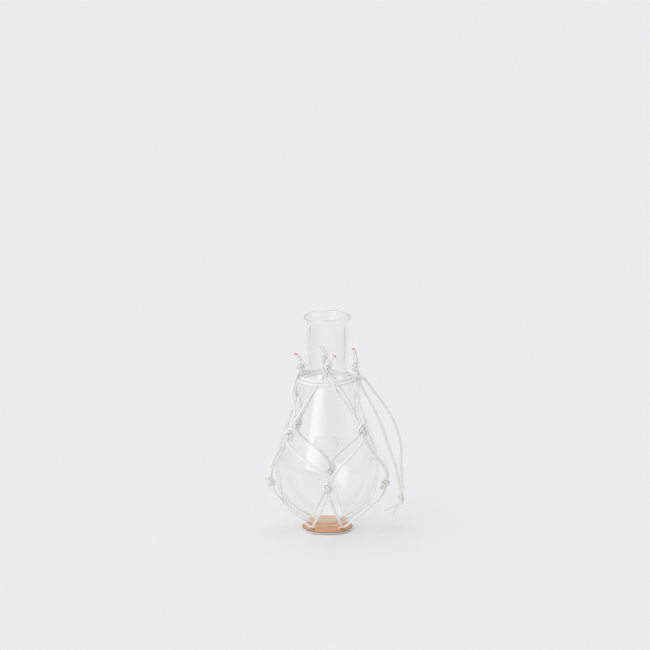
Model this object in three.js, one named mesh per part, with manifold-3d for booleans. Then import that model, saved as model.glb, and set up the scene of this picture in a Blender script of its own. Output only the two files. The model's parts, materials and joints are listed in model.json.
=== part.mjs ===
// Flask vase: a round-bottomed laboratory flask held in a hand-knotted net of round leather cord.
// The net grows out of a two-layer leather base that the flask stands on, and a drawstring closes
// it at the neck. Millimetres, Z up, front towards -Y. The origin is the middle of the underside.

import * as THREE from "three";
import { mergeVertices } from "three/addons/utils/BufferGeometryUtils.js";
import Module from "manifold-3d";

// Leather cord, the same for the net and the drawstring
const CORD_DIAMETER = 1.8;
const CLEARANCE = 0.3; // between a cord and what it lies against
const TURN_GAP = 0.55; // between the two turns of the drawstring
const CROSSING_GAP = 0.5; // between the drawstring and the net's cords that it passes

// Base: a tan leather disc glued on a white one, with the cords between them
const UPPER_DISC_RADIUS = 19.0;
const LOWER_DISC_RADIUS = 19.7;
const UPPER_DISC_THICKNESS = 0.85;
const LOWER_DISC_THICKNESS = 1.45;
const GLUE_LINE = 0.1;
const HOLE_CIRCLE_RADIUS = 13.2; // the four holes lie on this circle
const GROOVE_PLAY = 0.15; // round a cord between the discs

// Flask, outside sizes, heights counted from its bottom
const BELLY_RADIUS = 39.3;
const BELLY_HEIGHT = 44.1;
const SHOULDER_RADIUS = 20.9;
const SHOULDER_HEIGHT = 111.2;
const SHOULDER_SLOPE = 0.296; // how far the side leans in for each millimetre of height
const NECK_RADIUS = 15.5;
const NECK_HEIGHT = 123.2; // where the straight neck starts
const LIP_RADIUS = 17.6;
const LIP_HEIGHT = 6.4; // how far below the top the neck starts to flare
const LIP_THICKNESS = 2.1;
const LIP_ROUND = 1.9; // height of the rounded rim
const FLASK_HEIGHT = 163.4;
const WALL = 1.7;
const BOTTOM_EXTRA = 1.1; // by which the glass is thicker in the middle of its bottom
const BOTTOM_REACH = 14; // how far from the axis the bottom is thicker
// How far each curve of the outline keeps its end's direction, as a share of the curve's height
const BELLY_PULL = 0.27;
const SIDE_PULL = 0.39;
const SHOULDER_PULL = 0.42;
const NECK_PULL = 0.55;
const LIP_PULL = 0.45;

// Knots of the net: turns in degrees from the front towards the right, heights above the floor, and how far
// a loose knot stands out from the glass
const LOWER_KNOTS = [
  { turn: 1, height: 42.8, lean: 4, out: 0 },
  { turn: 88, height: 36.6, lean: -5, out: 3.0 },
  { turn: 176, height: 34.1, lean: 3, out: 0 },
  { turn: -88, height: 38.6, lean: 6, out: 0.8 },
];
const UPPER_KNOTS = [
  { turn: -55, height: 78.4, lean: 7, out: 0.4 },
  { turn: 48, height: 81.6, lean: -6, out: 0 },
  { turn: 133, height: 75.6, lean: 4, out: 0 },
  { turn: 219, height: 74.6, lean: -4, out: 0 },
];
// The top knots sit above the drawstring, and each ends in two tails
const TOP_KNOTS = [
  { turn: -3, rise: 7.4, lean: 12, out: 0, tail: { side: 4.2, up: 6.5, out: 2.2 } },
  { turn: 90, rise: 3.8, lean: -3, out: 1.2, tail: { side: -1.2, up: 9.5, out: -1.6 } },
  { turn: 182, rise: 3.6, lean: 8, out: 0.6, tail: { side: 3.4, up: 7.0, out: 0.4 } },
  { turn: 277, rise: 3.6, lean: 4, out: 0.3, tail: { side: 1.0, up: 6.0, out: 3.6 } },
];
// How far the left and right legs of the front, right, back and left cords stand off the glass where they are
// slack: from the base to the lower knots, from there to the upper knots, and on to the top knots
const BASE_SLACK = [[0, 0], [1.6, 1.6], [0, 0], [0.6, 0.6]];
const KNOT_SLACK = [[0, 0], [2.4, 1.0], [0, 0], [0.4, 0]];
const COLLAR_SLACK = [[0, 0], [1.8, 1.2], [0.5, 0], [1.0, 4.4]];
const SLACK_PEAK = 0.68; // the share of its way up at which a leg is slackest

// Drawstring: two turns above the shoulder, then two legs that hang down together to one knot
const DRAWSTRING_RISE = 2.6; // above the flask's shoulder
const DRAWSTRING_START = 68; // degrees from the front towards the right
const DRAWSTRING_SWEEP = 698; // from there to the left, round the back and round again
const OUTER_LEG = [
  [24.6, -4.6, 119.8],
  [28.6, -1.0, 116.0],
  [33.2, 2.8, 109.0],
  [39.6, 6.4, 99.6],
  [47.2, 6.0, 88.2],
  [52.6, 6.0, 75.8],
  [55.4, 6.0, 63.8],
  [56.0, 6.0, 49.6],
  [56.3, 6.0, 38.6],
  [56.8, 5.6, 31.6],
];
const INNER_LEG = [
  [26.0, -1.6, 111.0],
  [28.8, 0.4, 104.8],
  [32.8, -0.6, 98.2],
  [39.7, 0.0, 83.0],
  [46.6, 2.2, 62.6],
  [50.4, 3.4, 51.2],
  [53.5, 4.4, 39.6],
  [54.4, 4.8, 31.6],
];
const END_KNOT = { place: [56.0, 5.2, 21.8], lean: -6 };
const OUTER_TAIL = [
  [54.0, 5.6, 11.0],
  [50.0, 5.8, 7.2],
];
const INNER_TAIL = [
  [51.4, 4.4, 13.6],
  [46.8, 3.8, 12.4],
  [42.6, 3.4, 11.6],
];

// How finely the surfaces are divided
const FLASK_SEGMENTS = 36;
const FLASK_CURVE_STEPS = 6; // in each curve of the outline
const LIP_CURVE_STEPS = 3;
const DISC_SEGMENTS = 48;
const NET_CORD_SIDES = 5;
const WINDING_SIDES = 6;
const LEG_SIDES = 8;
const WINDING_STEPS = 24; // in each turn
const KNOT_STEP = 0.85; // cord diameters between sections inside a knot
const RUN_STEP = 5.5; // millimetres between sections where a cord lies on the glass
const COLLAR_STEP = 2.6; // the same where it crosses the drawstring
const GLASS_LINE_STEPS = 480; // of the line that the cords are laid on
const TAUT_STEPS = 48; // of the shortest way between two knots
const TAUT_HALVINGS = 40; // in finding it
const GROOVE_SIDES = 10;
const HOLE_SIDES = 16;

// Sizes that follow from those above
const CORD_RADIUS = CORD_DIAMETER / 2;
const CORD_PITCH = CORD_DIAMETER + CLEARANCE;
const TURN_PITCH = CORD_DIAMETER + TURN_GAP;
const BASE_HEIGHT = LOWER_DISC_THICKNESS + GLUE_LINE + UPPER_DISC_THICKNESS;
const FLASK_BOTTOM = BASE_HEIGHT + CLEARANCE;
const CORD_REST = CORD_RADIUS + CLEARANCE; // from the glass to the middle of a cord that lies on it
const CORD_LEVEL = BASE_HEIGHT / 2; // middle of the cords inside the base
const GROOVE_RADIUS = CORD_RADIUS + GROOVE_PLAY;
const HOLE_RADIUS = CORD_PITCH / 2 + CORD_REST; // two cords side by side
const GROOVE_END = 0.6 * CORD_DIAMETER; // how far from its hole a cord starts to rise
const HOLE_BEND = 0.75 * CORD_DIAMETER; // how far out a cord has leaned at the top of its hole
const HOLE_REACH = 1.95 * CORD_DIAMETER; // how far out of its hole it starts up the glass
const HOLE_RISE = 0.3 * CORD_DIAMETER; // how far it has risen off the base by then
const BASE_SETTLE = 6; // the length in which a cord from the base settles on the glass
const KNOT_SETTLE = 12; // the same for a cord from a knot
const OUT_SETTLE = 5; // how much longer that is for each millimetre that the knot stands out
const CROSSING_REACH = 2.2 * CORD_DIAMETER; // the length in which a cord rises over the drawstring
const TURNS_LIFT = 2 * (CORD_DIAMETER + CROSSING_GAP); // how far it rises there
const BASE_EASE = 0.2; // how far a cord's turning slows at both ends of its way from the base to a knot
const KNOT_EASE = 0.9; // the same between two knots
const COLLAR_EASE = 1; // the same where it crosses the drawstring
const TAIL_BEND = 0.45; // the share of a tail that stands up before it bends over
const QUARTER = Math.PI / 2;

const GLASS = new THREE.MeshStandardMaterial({ color: 0xe9efec, roughness: 0.03, metalness: 0 });
const WHITE_LEATHER = new THREE.MeshStandardMaterial({ color: 0xecebe6, roughness: 0.5, metalness: 0 });
const TAN_LEATHER = new THREE.MeshStandardMaterial({ color: 0xcd9e80, roughness: 0.85, metalness: 0 });

const wasm = await Module();
wasm.setup();

// Turns degrees from the front towards the right into the angle about Z.
function angleOf(turn) {
  return THREE.MathUtils.degToRad(turn) - QUARTER;
}

// Eases from 1 at the start of a stretch to 0 at its end, level at both.
function fade(x) {
  return 1 - THREE.MathUtils.smoothstep(x, 0, 1);
}

// A closed mesh as a solid that can be cut.
function solid(geometry) {
  const bare = new THREE.BufferGeometry();
  bare.setAttribute("position", geometry.getAttribute("position"));
  bare.setIndex(geometry.getIndex());
  const merged = mergeVertices(bare, 1e-4);
  const vertProperties = merged.getAttribute("position").array;
  const triVerts = new Uint32Array(merged.getIndex().array);
  return new wasm.Manifold(new wasm.Mesh({ numProp: 3, vertProperties, triVerts }));
}

// A cut solid as geometry again.
function geometryOf(cut) {
  const mesh = cut.getMesh();
  const geometry = new THREE.BufferGeometry();
  geometry.setAttribute("position", new THREE.BufferAttribute(mesh.vertProperties, 3));
  geometry.setIndex(new THREE.BufferAttribute(mesh.triVerts, 1));
  geometry.computeVertexNormals();
  return geometry;
}

// The flask's outline from the bottom of the belly to the foot of the lip, as curves of radius and height.
function bodyOutline() {
  const side = new THREE.Vector2(SHOULDER_SLOPE, -1);
  const belly = new THREE.Vector2(BELLY_RADIUS, BELLY_HEIGHT);
  const shoulder = new THREE.Vector2(SHOULDER_RADIUS, SHOULDER_HEIGHT);
  const neck = new THREE.Vector2(NECK_RADIUS, NECK_HEIGHT);
  const bodyRise = SHOULDER_HEIGHT - BELLY_HEIGHT;
  const neckRise = NECK_HEIGHT - SHOULDER_HEIGHT;
  const aboveBelly = belly.clone().setY(BELLY_HEIGHT + BELLY_PULL * bodyRise);
  const belowShoulder = shoulder.clone().addScaledVector(side, SIDE_PULL * bodyRise);
  const aboveShoulder = shoulder.clone().addScaledVector(side, -SHOULDER_PULL * neckRise);
  const belowNeck = neck.clone().setY(NECK_HEIGHT - NECK_PULL * neckRise);
  const outline = new THREE.Path();
  outline.absellipse(0, BELLY_HEIGHT, BELLY_RADIUS, BELLY_HEIGHT, -QUARTER, 0);
  outline.curves.push(new THREE.CubicBezierCurve(belly, aboveBelly, belowShoulder, shoulder));
  outline.curves.push(new THREE.CubicBezierCurve(shoulder, aboveShoulder, belowNeck, neck));
  outline.curves.push(new THREE.LineCurve(neck, neck.clone().setY(FLASK_HEIGHT - LIP_HEIGHT)));
  return outline;
}

// The direction square to an outline at one of its points, away from the glass.
function outward(points, i) {
  const before = points[Math.max(i - 1, 0)];
  const after = points[Math.min(i + 1, points.length - 1)];
  return new THREE.Vector2(after.y - before.y, before.x - after.x).normalize();
}

// The glass: one shell, turned about its axis, open at the lip.
function flaskGeometry() {
  const outer = bodyOutline().getPoints(FLASK_CURVE_STEPS);
  const extra = (p) => (p.y < BELLY_HEIGHT ? BOTTOM_EXTRA * fade(p.x / BOTTOM_REACH) : 0);
  const inner = outer.map((p, i) => p.clone().addScaledVector(outward(outer, i), -WALL - extra(p)));
  outer[0].x = 0;
  inner[0].set(0, WALL + BOTTOM_EXTRA);
  const bore = NECK_RADIUS - WALL;
  const mouth = LIP_RADIUS - LIP_THICKNESS;
  const foot = FLASK_HEIGHT - LIP_HEIGHT;
  const widest = FLASK_HEIGHT - LIP_ROUND;
  const pull = LIP_PULL * (widest - foot);
  const lip = new THREE.Path();
  lip.moveTo(NECK_RADIUS, foot);
  lip.bezierCurveTo(NECK_RADIUS, foot + pull, LIP_RADIUS, widest - pull, LIP_RADIUS, widest);
  lip.absellipse((LIP_RADIUS + mouth) / 2, widest, LIP_THICKNESS / 2, LIP_ROUND, 0, Math.PI);
  lip.bezierCurveTo(mouth, widest - pull, bore, foot + pull, bore, foot);
  const profile = [...outer, ...lip.getPoints(LIP_CURVE_STEPS).slice(1, -1), ...inner.reverse()];
  const geometry = new THREE.LatheGeometry(profile, FLASK_SEGMENTS);
  geometry.rotateX(QUARTER);
  geometry.translate(0, 0, FLASK_BOTTOM);
  return geometry;
}

// The outside of the glass as one finely divided line, with the distance along it, for laying cords on.
const GLASS_LINE = bodyOutline()
  .getSpacedPoints(GLASS_LINE_STEPS)
  .map((p) => ({ r: p.x, z: p.y + FLASK_BOTTOM }));
GLASS_LINE.forEach((p, i) => {
  const before = GLASS_LINE[Math.max(i - 1, 0)];
  const after = GLASS_LINE[Math.min(i + 1, GLASS_LINE.length - 1)];
  const normal = new THREE.Vector2(after.z - before.z, before.r - after.r).normalize();
  p.nr = normal.x;
  p.nz = normal.y;
  p.along = i === 0 ? 0 : before.along + Math.hypot(p.r - before.r, p.z - before.z);
});
const LINE_STEP = GLASS_LINE[1].along;

// The outside of the glass at a distance along its line.
function glassAt(along) {
  const at = THREE.MathUtils.clamp(along / LINE_STEP, 0, GLASS_LINE_STEPS);
  const i = Math.min(Math.floor(at), GLASS_LINE_STEPS - 1);
  const [a, b] = [GLASS_LINE[i], GLASS_LINE[i + 1]];
  const mix = (key) => THREE.MathUtils.lerp(a[key], b[key], at - i);
  return { r: mix("r"), z: mix("z"), nr: mix("nr"), nz: mix("nz") };
}

// How far along the glass a height above the floor lies.
function alongAt(height) {
  return GLASS_LINE.find((p) => p.z >= height).along;
}

// A point off the glass, from its angle, its distance along the glass and how far it stands off.
function offGlass(angle, along, off) {
  const { r, z, nr, nz } = glassAt(along);
  const radius = r + off * nr;
  return new THREE.Vector3(radius * Math.cos(angle), radius * Math.sin(angle), z + off * nz);
}

// The same three values from a point.
function placeOnGlass(point) {
  const radius = Math.hypot(point.x, point.y);
  const gap = (p) => Math.hypot(p.r - radius, p.z - point.z);
  const nearest = GLASS_LINE.reduce((best, p) => (gap(p) < gap(best) ? p : best));
  return { angle: Math.atan2(point.y, point.x), along: nearest.along, off: gap(nearest) };
}

// Points along a cord, spread evenly.
function spread(points, count) {
  const reach = [0];
  for (let i = 1; i < points.length; i++) reach.push(reach[i - 1] + points[i].distanceTo(points[i - 1]));
  const total = reach[reach.length - 1];
  let i = 0;
  return Array.from({ length: count }, (_, k) => {
    const goal = (total * k) / (count - 1);
    while (i < points.length - 2 && reach[i + 1] < goal) i++;
    const share = (goal - reach[i]) / (reach[i + 1] - reach[i]);
    return points[i].clone().lerp(points[i + 1], Math.min(share, 1));
  });
}

// Two cords tied together in one overhand knot, in cord diameters, X up, Y to the right and Z off the
// glass. Both start as one opened trefoil, side by side. Pulling straightens them and touching cords
// push apart, until the knot is tight. Returns the two cords' points from the bottom to the top.
function tieKnot() {
  const POINT_COUNT = 64;
  const ROUND_COUNT = 800;
  const PULL_COUNT = 760; // rounds until the pulling stops
  const PUSH_COUNT = 6; // in each round
  const EVEN_COUNT = 10; // rounds between two even spreadings
  const END = 14; // where the ends are held
  const SIZE = 1.9; // of the loose trefoil
  const HEIGHT = 1.6; // of its crossings
  const CUT = 0.75; // how much of the trefoil is opened on each side
  const LEAD_COUNT = 6; // points of each straight end
  const APART = 1 + CLEARANCE / CORD_DIAMETER;
  const BEND = 0.65; // tightest bend's radius
  const SHORT = 1.2; // a stretch up to this length can't touch itself
  const LONG = 1.9; // from this length on, a stretch can bend back on itself
  const NEXT_COUNT = 12; // points that span such a stretch
  const loose = [1, -1].map((side) => {
    const off = (side * APART) / 2;
    const loop = Array.from({ length: POINT_COUNT - 2 * LEAD_COUNT }, (_, i) => {
      const t = Math.PI + CUT + ((2 * Math.PI - 2 * CUT) * i) / (POINT_COUNT - 2 * LEAD_COUNT - 1);
      const along = new THREE.Vector2(Math.cos(t) + 4 * Math.cos(2 * t), 4 * Math.sin(2 * t) - Math.sin(t));
      along.normalize();
      const x = SIZE * (Math.sin(t) + 2 * Math.sin(2 * t)) - off * along.y;
      const y = SIZE * (Math.cos(t) - 2 * Math.cos(2 * t)) + off * along.x;
      return new THREE.Vector3(x, y, -HEIGHT * Math.sin(3 * t));
    });
    const ends = [END, -END].map((x) => new THREE.Vector3(x, -off, 0));
    const lead = Array.from({ length: LEAD_COUNT }, (_, i) => ends[0].clone().lerp(loop[0], i / LEAD_COUNT));
    const trail = Array.from({ length: LEAD_COUNT }, (_, i) =>
      loop.at(-1).clone().lerp(ends[1], (i + 1) / LEAD_COUNT),
    );
    return spread([...lead, ...loop, ...trail], POINT_COUNT);
  });

  // How far two points of the cords have to stay apart, or 0 where they are next to each other.
  function least(cord, other, i, j, points) {
    if (cord !== other || Math.abs(i - j) >= NEXT_COUNT) return APART;
    let arc = 0;
    for (let k = Math.min(i, j); k < Math.max(i, j); k++) arc += points[k].distanceTo(points[k + 1]);
    if (arc >= LONG) return APART;
    return arc < SHORT ? 0 : 2 * BEND * Math.sin(arc / 2 / BEND);
  }

  let cords = loose;
  for (let round = 1; round <= ROUND_COUNT; round++) {
    cords = cords.map((points) =>
      points.map((p, i) => {
        if (i === 0 || i === POINT_COUNT - 1 || round > PULL_COUNT) return p;
        const middle = points[i - 1].clone().add(points[i + 1]).multiplyScalar(0.5);
        return p.clone().lerp(middle, 0.5);
      }),
    );
    for (let push = 0; push < PUSH_COUNT; push++) {
      const moves = cords.map((points) => points.map(() => ({ by: new THREE.Vector3(), count: 0 })));
      cords.forEach((points, c) =>
        points.forEach((p, i) => {
          for (let d = c; d < 2; d++) {
            for (let j = d === c ? i + 1 : 0; j < POINT_COUNT; j++) {
              const q = cords[d][j];
              const gap = p.distanceTo(q);
              if (gap >= APART || gap < 1e-6) continue;
              const want = least(c, d, i, j, points);
              if (gap >= want) continue;
              const half = q.clone().sub(p).multiplyScalar((want - gap) / 2 / gap);
              moves[c][i].by.sub(half);
              moves[c][i].count++;
              moves[d][j].by.add(half);
              moves[d][j].count++;
            }
          }
        }),
      );
      cords.forEach((points, c) =>
        points.forEach((p, i) => {
          const { by, count } = moves[c][i];
          if (count > 0 && i > 0 && i < POINT_COUNT - 1) p.addScaledVector(by, 1 / Math.sqrt(count));
        }),
      );
    }
    if (round % EVEN_COUNT === 0) cords = cords.map((points) => spread(points, POINT_COUNT));
  }
  return cords.map((points) => points.toReversed());
}

// The knot that every crossing of the net repeats, cut off just above and below and centred on its middle.
const KNOT_HALF = 2.95; // cord diameters from a knot's middle to where its cords are cut
const KNOT = (() => {
  const cords = tieKnot();
  const inside = cords.flatMap((points) => points.slice(points.length / 4, (points.length * 3) / 4));
  const middle = inside.reduce((sum, p) => sum + p.x, 0) / inside.length;
  return cords.map((points) => {
    points.forEach((p) => p.setX(p.x - middle));
    const first = points.findIndex((p) => p.x > -KNOT_HALF);
    const last = points.findLastIndex((p) => p.x < KNOT_HALF);
    const kept = points.slice(first, last + 1);
    let length = 0;
    for (let i = 1; i < kept.length; i++) length += kept[i].distanceTo(kept[i - 1]);
    return spread(kept, Math.round(length / KNOT_STEP));
  });
})();
const KNOT_DEPTH = Math.max(...KNOT.flat().map((p) => -p.z)); // from its middle to its lowest cord

// The knot set in place: its middle, and the directions up, right and out. Hand is 1, or -1 for a knot
// tied the other way round. Returns its left and right cords.
function setKnot(middle, up, right, out, hand) {
  const cords = KNOT.map((points) =>
    points.map((p) =>
      middle
        .clone()
        .addScaledVector(up, p.x * CORD_DIAMETER)
        .addScaledVector(right, p.y * hand * CORD_DIAMETER)
        .addScaledVector(out, p.z * CORD_DIAMETER),
    ),
  );
  return hand > 0 ? cords : cords.reverse();
}

// A knot resting on the glass, or standing out from it where it is loose.
function knotOnGlass({ turn, lean, out: off }, along, hand) {
  const angle = angleOf(turn);
  const { nr, nz } = glassAt(along);
  const out = new THREE.Vector3(nr * Math.cos(angle), nr * Math.sin(angle), nz);
  const flat = new THREE.Vector3(-Math.sin(angle), Math.cos(angle), 0);
  const tilt = THREE.MathUtils.degToRad(lean);
  const up = out.clone().cross(flat).applyAxisAngle(out, -tilt);
  const right = flat.clone().applyAxisAngle(out, -tilt);
  const middle = offGlass(angle, along, KNOT_DEPTH * CORD_DIAMETER + CORD_REST + off);
  return { cords: setKnot(middle, up, right, out, hand), up, right, out };
}

// Where the drawstring lies. Its turns work down the shoulder as they go round.
const COLLAR_ALONG = alongAt(FLASK_BOTTOM + SHOULDER_HEIGHT + DRAWSTRING_RISE);
const COLLAR_OFF = CORD_REST + CORD_DIAMETER + CROSSING_GAP;

// How far along the glass the drawstring lies after a part of its sweep, in degrees.
function collarLevel(swept) {
  return COLLAR_ALONG + (TURN_PITCH * (DRAWSTRING_SWEEP / 2 - swept)) / 360;
}

// The band that the drawstring's turns cover in one direction: its lower and upper edges along the glass.
function collarBand(turn) {
  const first = THREE.MathUtils.euclideanModulo(DRAWSTRING_START - turn, 360);
  const levels = [first, first + 360].filter((swept) => swept <= DRAWSTRING_SWEEP).map(collarLevel);
  return { low: Math.min(...levels) - CORD_PITCH / 2, high: Math.max(...levels) + CORD_PITCH / 2 };
}

const lowerKnots = LOWER_KNOTS.map((k) => knotOnGlass(k, alongAt(k.height), -1));
const upperKnots = UPPER_KNOTS.map((k) => knotOnGlass(k, alongAt(k.height), 1));
const topKnots = TOP_KNOTS.map((k) => {
  const along = collarBand(k.turn).high + k.rise + KNOT_HALF * CORD_DIAMETER;
  return knotOnGlass(k, along, 1);
});

// How a taut cord goes round the glass between two distances along it: the share of its whole turn that it
// has made at even steps. Its way is the shortest, on which the radius times the sine of its slant is steady.
function tautTurns(from, to, turn) {
  const radii = Array.from({ length: TAUT_STEPS + 1 }, (_, i) => {
    const { r, nr } = glassAt(THREE.MathUtils.lerp(from, to, i / TAUT_STEPS));
    return r + nr * CORD_REST;
  });
  const step = Math.abs(to - from) / TAUT_STEPS;
  const turned = (steady) => {
    const made = [0];
    radii.slice(1).forEach((r, i) => {
      const middle = (r + radii[i]) / 2;
      made.push(made[i] + (step * steady) / (middle * Math.sqrt(middle * middle - steady * steady)));
    });
    return made;
  };
  let [low, high] = [0, Math.min(...radii)];
  for (let halving = 0; halving < TAUT_HALVINGS; halving++) {
    const middle = (low + high) / 2;
    if (turned(middle).at(-1) < Math.abs(turn)) low = middle;
    else high = middle;
  }
  const made = turned(low);
  return made.map((m) => m / made.at(-1));
}

// A stretch of cord lying on the glass between two of its points, without them. It leaves each end nearly the
// way it stands there, goes taut between, and settles on the glass within the given distances. Ease slows its
// turning at both ends, and slack is how far it stands off the glass, except at the drawstring, where it is
// lifted or passes under.
function runOnGlass(from, to, settle, step, ease, slack, drawstring = { near: () => 0, lift: 0 }) {
  const a = placeOnGlass(from);
  const b = placeOnGlass(to);
  const turn = THREE.MathUtils.euclideanModulo(b.angle - a.angle + Math.PI, 2 * Math.PI) - Math.PI;
  const length = Math.abs(b.along - a.along);
  const turns = tautTurns(a.along, b.along, turn);
  const count = Math.ceil(from.distanceTo(to) / step);
  const slackPower = Math.log(0.5) / Math.log(SLACK_PEAK);
  return Array.from({ length: count - 1 }, (_, i) => {
    const share = (i + 1) / count;
    const along = THREE.MathUtils.lerp(a.along, b.along, share);
    const rise =
      (a.off - CORD_REST) * fade((share * length) / settle[0]) +
      (b.off - CORD_REST) * fade(((1 - share) * length) / settle[1]);
    const near = drawstring.near(along);
    const loose = slack * Math.sin(Math.PI * share ** slackPower) ** 2;
    const eased = THREE.MathUtils.lerp(share, THREE.MathUtils.smoothstep(share, 0, 1), ease);
    const at = Math.min(Math.floor(eased * TAUT_STEPS), TAUT_STEPS - 1);
    const gone = THREE.MathUtils.lerp(turns[at], turns[at + 1], eased * TAUT_STEPS - at);
    const angle = a.angle + turn * gone;
    return offGlass(angle, along, CORD_REST + rise + THREE.MathUtils.lerp(loose, drawstring.lift, near));
  });
}

// How near a place along the glass is to the drawstring's turns: 1 at them, and 0 out of their reach.
function nearTurns(band, along) {
  const past = Math.max(band.low - along, along - band.high, 0);
  return fade(past / CROSSING_REACH);
}

// The hole at the left of a face of the net, and the way out from the middle at that hole.
function holeOf(face) {
  const angle = angleOf(90 * face - 45);
  const out = new THREE.Vector3(Math.cos(angle), Math.sin(angle), 0);
  const right = new THREE.Vector3(-Math.sin(angle), Math.cos(angle), 0);
  return { middle: out.clone().multiplyScalar(HOLE_CIRCLE_RADIUS), out, right };
}

// Where a cord stands in a hole that it shares with its neighbour, on the hole's left or right.
function cordInHole(hole, side) {
  return hole.middle.clone().addScaledVector(hole.right, (side * CORD_PITCH) / 2);
}

// One leg of a net cord from the base to its tail: up through a hole, then the lower knot, an upper
// knot and the top knot.
function legOf(face, side) {
  const left = side < 0;
  const own = left ? 0 : 1;
  const hole = holeOf(left ? face : face + 1);
  const inHole = cordInHole(hole, -side);
  const otherHole = cordInHole(holeOf(left ? face + 1 : face), side);
  const inGroove = inHole.clone().lerp(otherHole, GROOVE_END / inHole.distanceTo(otherHole));
  const rising = [
    [0, CORD_LEVEL + CORD_RADIUS],
    [HOLE_BEND, BASE_HEIGHT + CORD_RADIUS],
    [HOLE_REACH, BASE_HEIGHT + CORD_REST + HOLE_RISE],
  ].map(([out, height]) => inHole.clone().addScaledVector(hole.out, out).setZ(height));

  const lower = lowerKnots[face].cords[own];
  const upper = upperKnots[left ? face : (face + 1) % 4].cords[1 - own];
  const knot = topKnots[face];
  const top = knot.cords[own];
  const { tail } = TOP_KNOTS[face];
  const tip = top
    .at(-1)
    .clone()
    .addScaledVector(knot.right, tail.side)
    .addScaledVector(knot.up, tail.up)
    .addScaledVector(knot.out, tail.out);
  const bend = top.at(-1).clone().lerp(tip, TAIL_BEND).addScaledVector(knot.up, CORD_RADIUS);
  const band = collarBand(TOP_KNOTS[face].turn);
  // Right-hand cords pass over the drawstring and left-hand ones under it
  const drawstring = { near: (along) => nearTurns(band, along), lift: left ? 0 : TURNS_LIFT };
  const lowerSettle = KNOT_SETTLE + OUT_SETTLE * LOWER_KNOTS[face].out;
  const baseSlack = BASE_SLACK[face][own];
  const knotSlack = KNOT_SLACK[face][own];
  const topSlack = COLLAR_SLACK[face][own];
  const topSettle = [KNOT_SETTLE, TOP_KNOTS[face].rise];
  return [
    inGroove.setZ(CORD_LEVEL),
    ...rising,
    ...runOnGlass(rising.at(-1), lower[0], [BASE_SETTLE, lowerSettle], RUN_STEP, BASE_EASE, baseSlack),
    ...lower,
    ...runOnGlass(lower.at(-1), upper[0], [lowerSettle, KNOT_SETTLE], RUN_STEP, KNOT_EASE, knotSlack),
    ...upper,
    ...runOnGlass(upper.at(-1), top[0], topSettle, COLLAR_STEP, COLLAR_EASE, topSlack, drawstring),
    ...top,
    bend,
    tip,
  ];
}

// A cord's middle line whose sections fall on the points it was given.
class CordLine extends THREE.CatmullRomCurve3 {
  getPointAt(share, target) {
    return this.getPoint(share, target);
  }

  getTangentAt(share, target) {
    return this.getTangent(share, target);
  }
}

// A round cord along points.
function cordGeometry(points, sides) {
  const section = new THREE.Shape(
    Array.from({ length: sides }, (_, i) => {
      const angle = (2 * Math.PI * i) / sides;
      return new THREE.Vector2(CORD_RADIUS * Math.cos(angle), CORD_RADIUS * Math.sin(angle));
    }),
  );
  return new THREE.ExtrudeGeometry(section, {
    steps: points.length - 1,
    extrudePath: new CordLine(points),
    bevelEnabled: false,
  });
}

// The four cords of the net, each from one tail through its two knotted legs and the base to the other tail.
function netCordPoints(face) {
  const left = legOf(face, -1);
  const right = legOf(face, 1);
  return [...left.reverse(), ...right];
}

// The groove of a cord between the discs, and the hole at its left.
function baseCutters(face) {
  const start = holeOf(face);
  const from = cordInHole(start, 1);
  const to = cordInHole(holeOf(face + 1), -1);
  const length = from.distanceTo(to);
  const groove = new THREE.CylinderGeometry(GROOVE_RADIUS, GROOVE_RADIUS, length, GROOVE_SIDES);
  const along = to.clone().sub(from).normalize();
  groove.applyQuaternion(new THREE.Quaternion().setFromUnitVectors(new THREE.Vector3(0, 1, 0), along));
  groove.translate((from.x + to.x) / 2, (from.y + to.y) / 2, CORD_LEVEL);
  const depth = BASE_HEIGHT - CORD_LEVEL + GROOVE_RADIUS + CLEARANCE;
  const hole = new THREE.CylinderGeometry(HOLE_RADIUS, HOLE_RADIUS, depth, HOLE_SIDES);
  hole.rotateX(QUARTER);
  hole.translate(start.middle.x, start.middle.y, BASE_HEIGHT + CLEARANCE - depth / 2);
  return [groove, hole];
}

// A disc of the base with the holes and grooves cut out of it.
function discGeometry(radius, thickness, bottom) {
  const disc = new THREE.CylinderGeometry(radius, radius, thickness, DISC_SEGMENTS);
  disc.rotateX(QUARTER);
  disc.translate(0, 0, bottom + thickness / 2);
  const cutters = [0, 1, 2, 3].flatMap(baseCutters);
  return geometryOf(cutters.reduce((left, cutter) => left.subtract(solid(cutter)), solid(disc)));
}

// The drawstring's two turns, as one winding that works down the shoulder.
function windingPoints() {
  const steps = Math.round((WINDING_STEPS * DRAWSTRING_SWEEP) / 360);
  return Array.from({ length: steps + 1 }, (_, i) => {
    const swept = (DRAWSTRING_SWEEP * i) / steps;
    return offGlass(angleOf(DRAWSTRING_START - swept), collarLevel(swept), COLLAR_OFF);
  });
}

// The least gap between a winding's own turns, measured on its points.
function turnGap(points) {
  const apart = Math.round(WINDING_STEPS / 2);
  let least = Infinity;
  points.forEach((p, i) => {
    points.slice(i + apart).forEach((q) => {
      least = Math.min(least, p.distanceTo(q));
    });
  });
  return least - CORD_DIAMETER;
}

// A leg of the drawstring, from the winding's end through the end knot to its tail.
function hangingLeg(end, before, route, knotCord, tail) {
  const away = end.clone().sub(before).normalize();
  const start = end.clone().addScaledVector(away, CLEARANCE);
  const straight = start.clone().addScaledVector(away, CORD_DIAMETER);
  const points = (list) => list.map((xyz) => new THREE.Vector3(...xyz));
  return [start, straight, ...points(route), ...knotCord, ...points(tail)];
}

const flaskVase = new THREE.Group();

function add(name, geometry, material) {
  const mesh = new THREE.Mesh(geometry, material.clone());
  mesh.name = name;
  flaskVase.add(mesh);
}

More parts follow.
